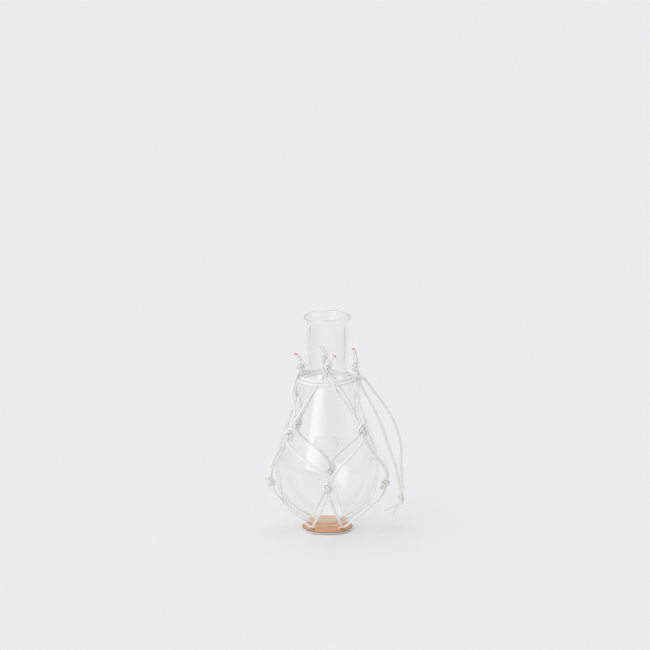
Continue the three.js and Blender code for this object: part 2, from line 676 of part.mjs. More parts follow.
add("glass_flask", flaskGeometry(), GLASS);
add(
  "base_disc_upper",
  discGeometry(UPPER_DISC_RADIUS, UPPER_DISC_THICKNESS, BASE_HEIGHT - UPPER_DISC_THICKNESS),
  TAN_LEATHER,
);
add("base_disc_lower", discGeometry(LOWER_DISC_RADIUS, LOWER_DISC_THICKNESS, 0), WHITE_LEATHER);
["front", "right", "back", "left"].forEach((name, face) => {
  add("net_cord_" + name, cordGeometry(netCordPoints(face), NET_CORD_SIDES), WHITE_LEATHER);
});

const winding = windingPoints();
console.log("drawstring: least gap between its turns " + turnGap(winding).toFixed(2) + " mm");
add("drawstring_turns", cordGeometry(winding, WINDING_SIDES), WHITE_LEATHER);

// The end knot hangs upside down: the legs come in at its top and the tails leave below.
const swing = THREE.MathUtils.degToRad(END_KNOT.lean);
const endKnot = setKnot(
  new THREE.Vector3(...END_KNOT.place),
  new THREE.Vector3(Math.sin(swing), 0, -Math.cos(swing)),
  new THREE.Vector3(Math.cos(swing), 0, Math.sin(swing)),
  new THREE.Vector3(0, -1, 0),
  1,
);
add(
  "drawstring_leg_outer",
  cordGeometry(hangingLeg(winding[0], winding[1], OUTER_LEG, endKnot[1], OUTER_TAIL), LEG_SIDES),
  WHITE_LEATHER,
);
add(
  "drawstring_leg_inner",
  cordGeometry(hangingLeg(winding.at(-1), winding.at(-2), INNER_LEG, endKnot[0], INNER_TAIL), LEG_SIDES),
  WHITE_LEATHER,
);

export default flaskVase;
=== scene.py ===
"""Flask vase: a clear round-bottomed flask in a knotted net of white leather cord on a leather base."""

import json
import logging
import math
from dataclasses import dataclass
from enum import Enum
from functools import reduce
from typing import Callable, NamedTuple

import bpy
import numpy as np
from mathutils import Vector
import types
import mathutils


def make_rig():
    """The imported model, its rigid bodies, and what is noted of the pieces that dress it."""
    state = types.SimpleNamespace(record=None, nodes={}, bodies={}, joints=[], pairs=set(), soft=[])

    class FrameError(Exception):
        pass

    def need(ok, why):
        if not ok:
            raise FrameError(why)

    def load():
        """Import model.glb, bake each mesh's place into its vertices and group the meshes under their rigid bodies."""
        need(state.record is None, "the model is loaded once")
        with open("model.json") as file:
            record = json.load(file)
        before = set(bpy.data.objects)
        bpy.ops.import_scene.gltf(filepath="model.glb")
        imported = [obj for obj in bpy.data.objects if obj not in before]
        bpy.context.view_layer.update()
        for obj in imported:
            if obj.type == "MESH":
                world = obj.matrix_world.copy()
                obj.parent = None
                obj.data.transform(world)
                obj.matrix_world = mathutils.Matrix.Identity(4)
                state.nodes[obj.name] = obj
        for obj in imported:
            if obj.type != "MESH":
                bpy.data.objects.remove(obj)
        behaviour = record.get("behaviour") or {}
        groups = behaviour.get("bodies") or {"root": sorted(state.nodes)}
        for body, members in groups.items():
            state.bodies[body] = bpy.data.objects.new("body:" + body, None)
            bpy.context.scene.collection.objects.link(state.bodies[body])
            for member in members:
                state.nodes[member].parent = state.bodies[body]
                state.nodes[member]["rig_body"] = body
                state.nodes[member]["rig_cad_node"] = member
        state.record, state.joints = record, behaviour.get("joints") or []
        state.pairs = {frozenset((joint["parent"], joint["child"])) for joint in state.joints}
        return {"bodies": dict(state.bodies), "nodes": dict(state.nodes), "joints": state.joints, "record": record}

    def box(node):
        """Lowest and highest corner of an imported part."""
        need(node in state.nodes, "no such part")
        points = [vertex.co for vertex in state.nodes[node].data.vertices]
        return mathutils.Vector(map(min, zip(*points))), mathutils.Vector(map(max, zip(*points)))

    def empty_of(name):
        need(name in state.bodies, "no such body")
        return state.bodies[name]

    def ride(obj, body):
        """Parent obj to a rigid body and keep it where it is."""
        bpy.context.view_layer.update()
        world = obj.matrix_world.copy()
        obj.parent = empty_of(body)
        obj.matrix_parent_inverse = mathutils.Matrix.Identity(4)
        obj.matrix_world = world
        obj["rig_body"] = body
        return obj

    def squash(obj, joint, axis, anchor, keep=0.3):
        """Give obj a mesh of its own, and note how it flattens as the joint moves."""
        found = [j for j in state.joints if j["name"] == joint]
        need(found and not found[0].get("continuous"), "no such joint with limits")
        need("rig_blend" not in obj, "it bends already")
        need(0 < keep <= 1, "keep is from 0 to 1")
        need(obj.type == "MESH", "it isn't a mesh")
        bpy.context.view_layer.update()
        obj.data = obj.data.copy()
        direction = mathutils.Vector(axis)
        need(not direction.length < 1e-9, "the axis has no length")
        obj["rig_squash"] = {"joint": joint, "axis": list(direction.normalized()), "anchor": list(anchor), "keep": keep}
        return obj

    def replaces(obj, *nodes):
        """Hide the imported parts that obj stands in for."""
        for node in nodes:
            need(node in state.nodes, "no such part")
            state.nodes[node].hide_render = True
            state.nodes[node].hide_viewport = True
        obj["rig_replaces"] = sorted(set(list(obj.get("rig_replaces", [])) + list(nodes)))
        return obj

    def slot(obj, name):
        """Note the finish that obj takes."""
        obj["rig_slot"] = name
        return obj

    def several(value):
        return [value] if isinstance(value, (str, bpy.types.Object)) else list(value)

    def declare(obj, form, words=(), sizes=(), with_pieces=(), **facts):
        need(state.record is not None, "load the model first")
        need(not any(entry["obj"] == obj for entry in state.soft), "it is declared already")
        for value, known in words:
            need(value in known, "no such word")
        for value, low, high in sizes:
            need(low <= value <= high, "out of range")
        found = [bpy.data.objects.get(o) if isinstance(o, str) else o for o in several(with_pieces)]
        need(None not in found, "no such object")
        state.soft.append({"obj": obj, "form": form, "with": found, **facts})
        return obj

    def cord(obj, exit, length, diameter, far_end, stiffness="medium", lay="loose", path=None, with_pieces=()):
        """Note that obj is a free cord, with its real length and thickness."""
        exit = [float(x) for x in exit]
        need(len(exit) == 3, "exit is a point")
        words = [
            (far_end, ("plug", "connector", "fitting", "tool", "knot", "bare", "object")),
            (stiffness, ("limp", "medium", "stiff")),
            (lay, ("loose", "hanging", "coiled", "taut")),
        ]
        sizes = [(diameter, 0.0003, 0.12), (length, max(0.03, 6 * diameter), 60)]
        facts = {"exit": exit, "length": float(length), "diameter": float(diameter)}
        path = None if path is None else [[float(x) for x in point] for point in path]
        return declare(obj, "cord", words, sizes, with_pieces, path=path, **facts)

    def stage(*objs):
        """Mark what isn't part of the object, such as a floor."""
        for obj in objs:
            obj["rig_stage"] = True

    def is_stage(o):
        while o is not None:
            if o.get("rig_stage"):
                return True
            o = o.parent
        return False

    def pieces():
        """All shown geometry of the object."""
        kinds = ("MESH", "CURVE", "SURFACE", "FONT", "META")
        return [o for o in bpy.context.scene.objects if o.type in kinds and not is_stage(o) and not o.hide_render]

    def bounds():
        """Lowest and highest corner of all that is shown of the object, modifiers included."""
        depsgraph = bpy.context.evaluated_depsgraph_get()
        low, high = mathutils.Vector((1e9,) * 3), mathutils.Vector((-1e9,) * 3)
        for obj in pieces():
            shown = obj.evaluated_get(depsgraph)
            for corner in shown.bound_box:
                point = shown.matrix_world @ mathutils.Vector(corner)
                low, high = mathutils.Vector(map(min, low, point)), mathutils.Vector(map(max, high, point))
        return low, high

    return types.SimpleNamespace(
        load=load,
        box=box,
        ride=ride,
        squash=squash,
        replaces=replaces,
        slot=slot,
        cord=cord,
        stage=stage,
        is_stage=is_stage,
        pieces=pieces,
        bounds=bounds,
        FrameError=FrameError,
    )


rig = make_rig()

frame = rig.load()
CAD_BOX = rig.bounds()

log = logging.getLogger("flask_vase")

Array = np.ndarray
Colour = tuple[float, float, float, float]
Triple = tuple[float, float, float]
Pair = tuple[float, float]
Route = tuple[Triple, ...]
Pairs = tuple[Pair, ...]
Cords = tuple[Array, Array]
Piece = bpy.types.Object
Material = bpy.types.Material
Group = bpy.types.ShaderNodeTree
Node = bpy.types.Node
Socket = bpy.types.NodeSocket
MM = 0.001
QUARTER = math.pi / 2
STRETCH_POINTS = 16
NEARLY_PARALLEL = 0.1
HOLDER = "net_holder"
FLASK = "flask"
LIFT = "flask_lift"


class Hand(Enum):
    """Which way round a knot is tied."""

    RIGHT = 1
    LEFT = -1


class Side(Enum):
    """Which leg of a net cord, or which cord of a knot, is meant."""

    LEFT = -1
    RIGHT = 1


def tint(red: int, green: int, blue: int) -> Colour:
    """Turns a screen colour into the linear colour that shaders take.

    Args:
        red: Red from 0 to 255.
        green: Green from 0 to 255.
        blue: Blue from 0 to 255.

    Returns:
        The linear colour with full alpha.
    """
    share = np.array([red, green, blue]) / 255
    linear = np.where(share <= 0.04045, share / 12.92, ((share + 0.055) / 1.055) ** 2.4)
    return (float(linear[0]), float(linear[1]), float(linear[2]), 1.0)


def fade(x: Array) -> Array:
    """Eases from 1 at the start of a stretch to 0 at its end, level at both."""
    x = np.clip(x, 0.0, 1.0)
    return 1 - x * x * (3 - 2 * x)


def unit(vectors: Array) -> Array:
    """Scales vectors to length 1."""
    return vectors / np.linalg.norm(vectors, axis=-1, keepdims=True)


def lengths_along(path: Array) -> Array:
    """Gives the distance along a path at each of its points."""
    return np.concatenate([[0.0], np.cumsum(np.linalg.norm(np.diff(path, axis=0), axis=1))])


def evenly(path: Array, count: int) -> Array:
    """Spreads points evenly along a path.

    Args:
        path: The path's points.
        count: How many points to return.

    Returns:
        Points with equal distances between them along the path.
    """
    reach = lengths_along(path)
    goals = np.linspace(0, reach[-1], count)
    return np.stack([np.interp(goals, reach, axis) for axis in path.T], axis=1)


def smooth_path(points: Array, step: float) -> Array:
    """Carries a centripetal Catmull-Rom curve through points and spreads points evenly along it.

    Each stretch between two points blends the lines through its four nearest points, with the
    square root of their distances as the curve's parameter.

    Args:
        points: The points that the curve passes through.
        step: About how far apart the returned points lie.

    Returns:
        Even points along the curve.
    """
    first = 2 * points[0] - points[1]
    last = 2 * points[-1] - points[-2]
    p = np.vstack([first, points, last])
    knots = np.concatenate([[0.0], np.cumsum(np.sqrt(np.linalg.norm(np.diff(p, axis=0), axis=1)))])
    t0, t1, t2, t3 = (knots[i : len(knots) - 3 + i, None, None] for i in range(4))
    p0, p1, p2, p3 = (p[i : len(p) - 3 + i, None, :] for i in range(4))
    t = t1 + (t2 - t1) * np.linspace(0, 1, STRETCH_POINTS, endpoint=False)[None, :, None]
    a1 = ((t1 - t) * p0 + (t - t0) * p1) / (t1 - t0)
    a2 = ((t2 - t) * p1 + (t - t1) * p2) / (t2 - t1)
    a3 = ((t3 - t) * p2 + (t - t2) * p3) / (t3 - t2)
    b1 = ((t2 - t) * a1 + (t - t0) * a2) / (t2 - t0)
    b2 = ((t3 - t) * a2 + (t - t1) * a3) / (t3 - t1)
    curve = ((t2 - t) * b1 + (t - t1) * b2) / (t2 - t1)
    dense = np.vstack([curve.reshape(-1, 3), points[-1:]])
    return evenly(dense, max(2, round(lengths_along(dense)[-1] / step) + 1))


def bezier(a: Array, b: Array, c: Array, d: Array, count: int) -> Array:
    """Gives points of the cubic curve with ends a and d that heads for b and comes from c."""
    t = np.linspace(0, 1, count)[:, None]
    return (1 - t) ** 3 * a + 3 * (1 - t) ** 2 * t * b + 3 * (1 - t) * t**2 * c + t**3 * d


def outward(line: Array) -> Array:
    """Gives the direction away from the axis, square to a line of radius and height, at each point."""
    slope = np.gradient(line, axis=0)
    return unit(np.stack([slope[:, 1], -slope[:, 0]], axis=1))


def new_piece(name: str, points: list, faces: list) -> Piece:
    """Makes an object of points and faces and links it to the scene.

    Args:
        name: The object's name.
        points: Its points.
        faces: The numbers of each face's points.

    Returns:
        The new object.
    """
    mesh = bpy.data.meshes.new(name)
    mesh.from_pydata(points, [], faces)
    piece = bpy.data.objects.new(name, mesh)
    bpy.context.scene.collection.objects.link(piece)
    return piece


def grid_faces(rows: int, columns: int) -> Array:
    """Gives the four-sided faces of a grid whose columns close on themselves.

    Args:
        rows: How many rows of points the grid has.
        columns: How many points each row has.

    Returns:
        The numbers of each face's four points.
    """
    i, j = np.meshgrid(np.arange(rows - 1), np.arange(columns), indexing="ij")
    k = (j + 1) % columns
    corners = [i * columns + j, i * columns + k, (i + 1) * columns + k, (i + 1) * columns + j]
    return np.stack(corners, axis=-1).reshape(-1, 4)


def closed_rows(name: str, rows: Array, start: Array, end: Array) -> Piece:
    """Makes a closed mesh from rings of points and the two points that close its ends.

    Args:
        name: The object's name.
        rows: Rings of points, as an array of rings by points by 3.
        start: The point that closes the first ring.
        end: The point that closes the last ring.

    Returns:
        The new object, linked to the scene, with smooth faces.
    """
    count, columns = rows.shape[:2]
    first = count * columns
    j = np.arange(columns)
    k = (j + 1) % columns
    opening = np.stack([np.full(columns, first), k, j], axis=1)
    base = (count - 1) * columns
    closing = np.stack([np.full(columns, first + 1), base + j, base + k], axis=1)
    points = np.vstack([rows.reshape(-1, 3), start, end])
    faces = grid_faces(count, columns).tolist() + opening.tolist() + closing.tolist()
    piece = new_piece(name, points.tolist(), faces)
    piece.data.shade_smooth()
    return piece


def lathe(name: str, profile: Array, columns: int, wave: Callable[[Array], Array] | None = None) -> Piece:
    """Turns a profile about Z into a closed mesh.

    A point (r, z) of the profile becomes the ring (r cos a, r sin a, z), and its first and last
    points lie on the axis. The wave makes the radius a little uneven, as a share of it.

    Args:
        name: The object's name.
        profile: Points of radius and height.
        columns: How many points each ring has.
        wave: The share to add to the radius at an angle.

    Returns:
        The new object.
    """
    angle = np.linspace(0, 2 * math.pi, columns, endpoint=False)
    swell = 1 + (wave(angle) if wave else np.zeros(columns))
    r, z = profile[1:-1].T[:, :, None]
    axes = np.broadcast_arrays(r * (swell * np.cos(angle)), r * (swell * np.sin(angle)), z)
    rows = np.stack(axes, axis=2)
    ends = [np.array([0.0, 0.0, profile[i, 1]]) for i in (0, -1)]
    return closed_rows(name, rows, *ends)


def carried_frames(path: Array) -> tuple[Array, Array, Array]:
    """Carries a pair of directions along a path with no twist, square to it everywhere.

    Args:
        path: The path's points.

    Returns:
        At each point the direction along the path and the two directions across it.
    """
    along = unit(np.gradient(path, axis=0))
    across = np.empty_like(along)
    start = np.cross(along[0], [0.0, 0.0, 1.0])
    if np.linalg.norm(start) < NEARLY_PARALLEL:
        start = np.cross(along[0], [1.0, 0.0, 0.0])
    across[0] = start
    for i in range(1, len(path)):
        across[i] = across[i - 1] - along[i] * np.dot(across[i - 1], along[i])
        across[i] /= np.linalg.norm(across[i])
    across[0] = unit(across[0])
    return along, across, np.cross(along, across)


def rings(sides: int, u: Array, v: Array) -> tuple[Array, Array]:
    """Gives even angles, and at each point of a path the ring cos a U + sin a V."""
    angle = np.linspace(0, 2 * math.pi, sides, endpoint=False)
    a = angle[None, :, None]
    return angle, np.cos(a) * u[:, None, :] + np.sin(a) * v[:, None, :]


class CordEnds(NamedTuple):
    """Which ends of a stretch of cord show the cut through it."""

    start: bool
    end: bool


@dataclass(frozen=True)
class RoundCord:
    """The round leather cord that the net and the drawstring are made of."""

    diameter: float = 1.8 * MM
    step: float = 0.42 * MM
    sides: int = 14
    end_shares: Triple = (0.86, 0.92, 0.97)
    end_pushes: Triple = (0.05, 0.05, 0.03)
    swell: float = 0.018
    swell_length: float = 7.0 * MM
    second_swell: Triple = (0.6, 2.7, 1.0)

    @property
    def radius(self) -> float:
        """Half the cord's diameter."""
        return self.diameter / 2

    def lay(self, name: str, path: Array, cut: CordEnds, thick: Array) -> Piece:
        """Makes a stretch of cord along a path.

        A ring lies at each point c of the path: c + r (cos a U + sin a V), with U and V carried
        along. Each end closes over three smaller rings, so that a cut shows a core inside a rim.
        The radius swells a little by two sines of the distance along. The attribute along_cord
        unrolls the surface, and cut marks the core of a cut end.

        Args:
            name: The object's name.
            path: Even points of the cord's middle line.
            cut: Which ends show the cut.
            thick: The share of its thickness that the cord keeps at each point.

        Returns:
            The new object.
        """
        along, u, v = carried_frames(path)
        reach = lengths_along(path)
        last = len(path) - 1
        shares, pushes = np.array(self.end_shares), np.array(self.end_pushes)
        closing = len(shares)
        at = np.clip(np.arange(-closing, len(path) + closing), 0, last)
        share = np.concatenate([shares, np.ones(len(path)), shares[::-1]])
        push = self.diameter * np.concatenate([-pushes, np.zeros(len(path)), pushes[::-1]])
        height, rate, phase = self.second_swell
        way = reach / self.swell_length
        waves = np.sin(way) + height * np.sin(rate * way + phase)
        radius = self.radius * share * thick[at] * (1 + self.swell * waves[at])
        centre = path[at] + along[at] * push[:, None]
        angle, ring = rings(self.sides, u[at], v[at])
        rows = centre[:, None, :] + radius[:, None, None] * ring
        piece = closed_rows(name, rows, centre[0], centre[-1])

        r, length = radius[:, None], (reach[at] + push)[:, None]
        axes = np.broadcast_arrays(r * np.cos(angle), r * np.sin(angle), length)
        unrolled = np.stack(axes, axis=2).reshape(-1, 3)
        tips = np.array([[0, 0, reach[0]], [0, 0, reach[-1]]])
        place = piece.data.attributes.new("along_cord", "FLOAT_VECTOR", "POINT")
        place.data.foreach_set("vector", np.vstack([unrolled, tips]).ravel())
        core = np.zeros((len(at), self.sides))
        core[0] = cut.start
        core[-1] = cut.end
        marks = np.concatenate([core.ravel(), [cut.start, cut.end]]).astype(np.float32)
        piece.data.attributes.new("cut", "FLOAT", "POINT").data.foreach_set("value", marks)
        return piece


class GlassPlace(NamedTuple):
    """A place off the glass: its angle about Z, its distance along the glass and how far off it is."""

    angle: float
    along: float
    off: float


@dataclass(frozen=True)
class FlaskShape:
    """The flask's outline. Heights count from its bottom, which stands at bottom."""

    bottom: float
    height: float
    belly_radius: float
    belly_height: float = 44.1 * MM
    shoulder_radius: float = 20.9 * MM
    shoulder_height: float = 111.2 * MM
    shoulder_slope: float = 0.296
    neck_radius: float = 15.5 * MM
    neck_height: float = 123.2 * MM
    lip_radius: float = 17.6 * MM
    lip_height: float = 6.4 * MM
    lip_thickness: float = 2.1 * MM
    lip_round: float = 1.9 * MM
    wall: float = 1.7 * MM
    bottom_extra: float = 1.1 * MM
    bottom_reach: float = 14.0 * MM
    belly_pull: float = 0.27
    side_pull: float = 0.39
    shoulder_pull: float = 0.42
    neck_pull: float = 0.55
    lip_pull: float = 0.45
    line_step: float = 0.5 * MM
    side_points: int = 160
    bend_points: int = 60
    flare_points: int = 18
    rim_points: int = 26
    wall_points: int = 220

    @classmethod
    def from_frame(cls) -> "FlaskShape":
        """Takes the flask's overall sizes from its CAD node."""
        low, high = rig.box("glass_flask")
        return cls(bottom=low[2], height=high[2] - low[2], belly_radius=high[0])

    def body(self) -> Array:
        """Gives the outside from the bottom to the foot of the lip.

        A quarter of an ellipse makes the belly's lower half, one cubic curve the side up to the
        shoulder, another the bend into the neck, and a line the neck.

        Returns:
            Points of radius and height above the flask's bottom, about half a millimetre apart.
        """
        side = np.array([self.shoulder_slope, -1.0])
        belly = np.array([self.belly_radius, self.belly_height])
        shoulder = np.array([self.shoulder_radius, self.shoulder_height])
        neck = np.array([self.neck_radius, self.neck_height])
        body_rise = self.shoulder_height - self.belly_height
        neck_rise = self.neck_height - self.shoulder_height
        turn = np.linspace(-QUARTER, 0, self.side_points)[:, None]
        bowl = belly * np.hstack([np.cos(turn), 1 + np.sin(turn)])
        above_belly = belly + [0, self.belly_pull * body_rise]
        below_shoulder = shoulder + side * self.side_pull * body_rise
        above_shoulder = shoulder - side * self.shoulder_pull * neck_rise
        below_neck = neck - [0, self.neck_pull * neck_rise]
        flank = bezier(belly, above_belly, below_shoulder, shoulder, self.side_points)
        bend = bezier(shoulder, above_shoulder, below_neck, neck, self.bend_points)
        foot = np.array([[self.neck_radius, self.height - self.lip_height]])
        line = np.vstack([bowl, flank[1:], bend[1:], foot])
        return evenly(line, round(lengths_along(line)[-1] / self.line_step))

    def lip(self) -> Array:
        """Gives the flare, the rounded rim and the mouth's inside, from the foot of the lip and back.

        Two cubic curves that leave and arrive upright make the outside and the inside, and half an
        ellipse between them the rim.

        Returns:
            Points of radius and height above the flask's bottom.
        """
        half = self.lip_thickness / 2
        middle = self.lip_radius - half
        bore = self.neck_radius - self.wall
        foot = self.height - self.lip_height
        widest = self.height - self.lip_round
        pull = np.array([0.0, self.lip_pull * (widest - foot)])

        def flare(low: float, high: float) -> Array:
            """Gives the curve from one radius at the foot to another at the widest height."""
            ends = np.array([[low, foot], [high, widest]])
            return bezier(ends[0], ends[0] + pull, ends[1] - pull, ends[1], self.flare_points)

        turn = np.linspace(0, math.pi, self.rim_points)[1:-1, None]
        rim = np.array([middle, widest]) + np.hstack([half * np.cos(turn), self.lip_round * np.sin(turn)])
        outside = flare(self.neck_radius, middle + half)
        inside = flare(bore, middle - half)
        return np.vstack([outside[1:], rim, inside[:0:-1]])

    def profile(self) -> Array:
        """Gives the closed section of the glass, from the axis at the bottom up and down again inside.

        The inside is the outside moved in square to it by the wall, which eases to a thicker bottom.

        Returns:
            Points of radius and height.
        """
        outer = evenly(self.body(), self.wall_points)
        low = outer[:, 1] < self.belly_height
        wall = self.wall + np.where(low, self.bottom_extra * fade(outer[:, 0] / self.bottom_reach), 0.0)
        inner = (outer - outward(outer) * wall[:, None])[::-1]
        outer[0, 0] = 0.0
        inner[-1] = [0.0, wall[0]]
        return np.vstack([outer, self.lip(), inner]) + [0, self.bottom]


class GlassSide:
    """The outside of the glass as a finely divided line, for laying things on."""

    SHARES = 97
    HALVINGS = 40

    def __init__(self, shape: FlaskShape) -> None:
        """Measures the line.

        Args:
            shape: The flask's outline.
        """
        line = shape.body() + [0, shape.bottom]
        self.r, self.z = line.T
        self.nr, self.nz = outward(line).T
        self.along = lengths_along(line)

    def at_height(self, height: float) -> float:
        """Gives how far along the glass a height above the floor lies."""
        return float(np.interp(height, self.z, self.along))

    def lean(self, along: float) -> Pair:
        """Gives the glass's outward direction at a distance along it, as its radial and upward parts."""
        return float(np.interp(along, self.along, self.nr)), float(np.interp(along, self.along, self.nz))

    def points(self, angle: Array, along: Array, off: Array) -> Array:
        """Gives points off the glass.

        Args:
            angle: Angles about Z.
            along: Distances along the glass from its bottom.
            off: Distances from the glass.

        Returns:
            The points, one for each value.
        """
        angle, along, off = np.broadcast_arrays(angle, along, off)
        radius = np.interp(along, self.along, self.r) + off * np.interp(along, self.along, self.nr)
        height = np.interp(along, self.along, self.z) + off * np.interp(along, self.along, self.nz)
        return np.stack([radius * np.cos(angle), radius * np.sin(angle), height], axis=-1)

    def taut(self, start: float, end: float, turn: float, off: float) -> tuple[Array, Array]:
        """Finds the shortest way round the glass between two distances along it.

        On that way c = r sin(slant) stays steady, so the turn grows by c / (r sqrt(r^2 - c^2)) for
        each unit of distance along the glass. Halving finds the c that gives the whole turn.

        Args:
            start: Where the way starts, along the glass.
            end: Where it ends.
            turn: How far it goes round.
            off: How far off the glass it lies.

        Returns:
            Even shares of the distance, and the share of the turn made at each.
        """
        share = np.linspace(0, 1, self.SHARES)
        along = start + (end - start) * (share[1:] + share[:-1]) / 2
        r = np.interp(along, self.along, self.r) + off * np.interp(along, self.along, self.nr)
        step = abs(end - start) / len(along)
        low, high = 0.0, float(r.min())
        for _ in range(self.HALVINGS):
            c = (low + high) / 2
            if float(np.sum(step * c / (r * np.sqrt(r**2 - c**2)))) < turn:
                low = c
            else:
                high = c
        made = np.concatenate([[0.0], np.cumsum(1 / (r * np.sqrt(r**2 - low**2)))])
        return share, made / made[-1]

    def place(self, point: Array) -> GlassPlace:
        """Finds a point's place off the glass, from the nearest point of the line.

        Args:
            point: The point.

        Returns:
            Its place.
        """
        radius = math.hypot(point[0], point[1])
        gap = np.hypot(self.r - radius, self.z - point[2])
        nearest = int(np.argmin(gap))
        return GlassPlace(math.atan2(point[1], point[0]), float(self.along[nearest]), float(gap[nearest]))


@dataclass(frozen=True)
class OverhandKnot:
    """Two cords tied together in one overhand knot, in cord diameters: X up, Y right and Z outwards."""

    points: int = 64
    rounds: int = 300
    pulled: int = 280
    pushes: int = 4
    evened: int = 10
    end: float = 14.0
    size: float = 1.9
    height: float = 1.6
    cut: float = 0.75
    lead: int = 6
    apart: float = 1.06
    bend: float = 0.65
    short: float = 1.2
    long: float = 1.9
    next: int = 12
    half: float = 2.95
    tiny: float = 1e-6

    def loose(self, side: int) -> Array:
        """Gives one cord of the loose knot: an opened trefoil with straight ends, moved off its middle.

        Args:
            side: 1 or -1, the side that the cord lies on.

        Returns:
            Even points of the cord.
        """
        off = side * self.apart / 2
        t = np.linspace(math.pi + self.cut, 3 * math.pi - self.cut, self.points - 2 * self.lead)
        heading = unit(np.stack([np.cos(t) + 4 * np.cos(2 * t), 4 * np.sin(2 * t) - np.sin(t)], axis=1))
        x = self.size * (np.sin(t) + 2 * np.sin(2 * t)) - off * heading[:, 1]
        y = self.size * (np.cos(t) - 2 * np.cos(2 * t)) + off * heading[:, 0]
        loop = np.stack([x, y, -self.height * np.sin(3 * t)], axis=1)
        ends = np.array([[self.end, -off, 0.0], [-self.end, -off, 0.0]])
        return evenly(np.vstack([ends[:1], loop, ends[1:]]), self.points)

    def push_apart(self, cords: Array) -> Array:
        """Moves points that lie too near each other apart, all at once.

        Args:
            cords: The two cords' points.

        Returns:
            The moved points. The ends stay.
        """
        flat = cords.reshape(-1, 3)
        step = flat[None, :, :] - flat[:, None, :]
        gap = np.linalg.norm(step, axis=2)
        want = np.full_like(gap, self.apart)
        index = np.arange(self.points)
        near = np.abs(index[:, None] - index[None, :]) < self.next
        for c, points in enumerate(cords):
            reach = lengths_along(points)
            arc = np.abs(reach[:, None] - reach[None, :])
            bent = np.where(arc < self.short, 0.0, 2 * self.bend * np.sin(arc / 2 / self.bend))
            own = np.where(near & (arc < self.long), bent, self.apart)
            block = slice(c * self.points, (c + 1) * self.points)
            want[block, block] = own
        close = (gap < want) & (gap > self.tiny)
        weight = np.where(close, (want - gap) / 2 / np.maximum(gap, self.tiny), 0.0)
        moves = -(weight[:, :, None] * step).sum(axis=1)
        count = np.maximum(close.sum(axis=1), 1)
        moved = (moves / np.sqrt(count)[:, None]).reshape(cords.shape)
        moved[:, [0, -1]] = 0.0
        return cords + moved

    def tie(self) -> Cords:
        """Pulls the loose knot tight.

        Pulling moves each point half-way to the middle of its neighbours, and cords that touch push
        each other apart, until the knot holds itself.

        Returns:
            The left and right cords from the bottom of the knot to its top, centred on the knot.
        """
        cords = np.stack([self.loose(1), self.loose(-1)])
        for turn in range(1, self.rounds + 1):
            if turn <= self.pulled:
                middle = (cords[:, :-2] + cords[:, 2:]) / 2
                cords[:, 1:-1] = (cords[:, 1:-1] + middle) / 2
            for _ in range(self.pushes):
                cords = self.push_apart(cords)
            if turn % self.evened == 0:
                cords = np.stack([evenly(points, self.points) for points in cords])
        quarter = self.points // 4
        cords = cords[:, ::-1]
        cords = cords - [cords[:, quarter : 3 * quarter, 0].mean(), 0, 0]
        left, right = (points[np.abs(points[:, 0]) < self.half] for points in cords)
        return left, right


@dataclass(frozen=True)
class KnotPlace:
    """Where a knot of the net sits: turn from the front to the right, height, lean, distance off and spin.

    The turn, the lean and the spin about the way up are in degrees.
    """

    turn: float
    height: float
    lean: float
    out: float = 0.0
    spin: float = 0.0


@dataclass(frozen=True)
class TopKnotPlace:
    """Where a top knot sits above the drawstring, and how far its tails reach to the side, up and out."""

    turn: float
    rise: float
    lean: float
    out: float
    spin: float
    tail: Triple


class SetKnot(NamedTuple):
    """A knot in place: its left and right cords and the directions up, right and out."""

    cords: Cords
    up: Array
    right: Array
    out: Array


def angle_of(turn: float) -> float:
    """Turns degrees from the front towards the right into the angle about Z."""
    return math.radians(turn) - QUARTER


@dataclass(frozen=True)
class BaseShape:
    """The leather base: a tan disc glued on a white one, with the net's cords between them."""

    upper_radius: float
    lower_radius: float
    lower_top: float
    upper_bottom: float
    top: float
    hole_circle: float = 13.2 * MM

    @classmethod
    def from_frame(cls) -> "BaseShape":
        """Takes the discs' sizes from their CAD nodes."""
        upper_low, upper_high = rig.box("base_disc_upper")
        _, lower_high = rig.box("base_disc_lower")
        return cls(upper_high[0], lower_high[0], lower_high[2], upper_low[2], upper_high[2])

    @property
    def cord_level(self) -> float:
        """The height of the middle of the cords between the discs."""
        return self.top / 2

    def hole(self, face: int) -> tuple[Array, Array, Array]:
        """Finds the hole at the left of a face.

        Args:
            face: The face of the net.

        Returns:
            The hole's middle and the directions out and to the right there.
        """
        angle = angle_of(90 * face - 45)
        out = np.array([math.cos(angle), math.sin(angle), 0.0])
        right = np.array([-math.sin(angle), math.cos(angle), 0.0])
        return out * self.hole_circle, out, right

    def cord_in_hole(self, face: int, side: Side, pitch: float) -> Array:
        """Gives where a cord stands in a hole that it shares with its neighbour."""
        middle, _, right = self.hole(face)
        return middle + right * side.value * pitch / 2


@dataclass(frozen=True)
class Collar:
    """The two turns of the drawstring round the shoulder. Turns are degrees from the front to the right."""

    side: GlassSide
    middle: float
    off: float
    start: float = 68.0
    sweep: float = 698.0
    pitch: float = 2.35 * MM
    edge: float = 1.05 * MM
    count: int = 240

    def level(self, swept: Array) -> Array:
        """Gives how far along the glass the drawstring lies after a part of its sweep."""
        return self.middle + self.pitch * (self.sweep / 2 - swept) / 360

    def band(self, turn: float) -> Pair:
        """Gives the lower and upper edges, along the glass, of the turns in one direction."""
        first = (self.start - turn) % 360
        levels = [self.level(swept) for swept in (first, first + 360) if swept <= self.sweep]
        return min(levels) - self.edge, max(levels) + self.edge

    def points(self) -> Array:
        """Gives the winding's middle line: a spiral that works down the shoulder as it goes round."""
        swept = np.linspace(0, self.sweep, self.count)
        angle = np.radians(self.start - swept) - QUARTER
        return self.side.points(angle, self.level(swept), self.off)


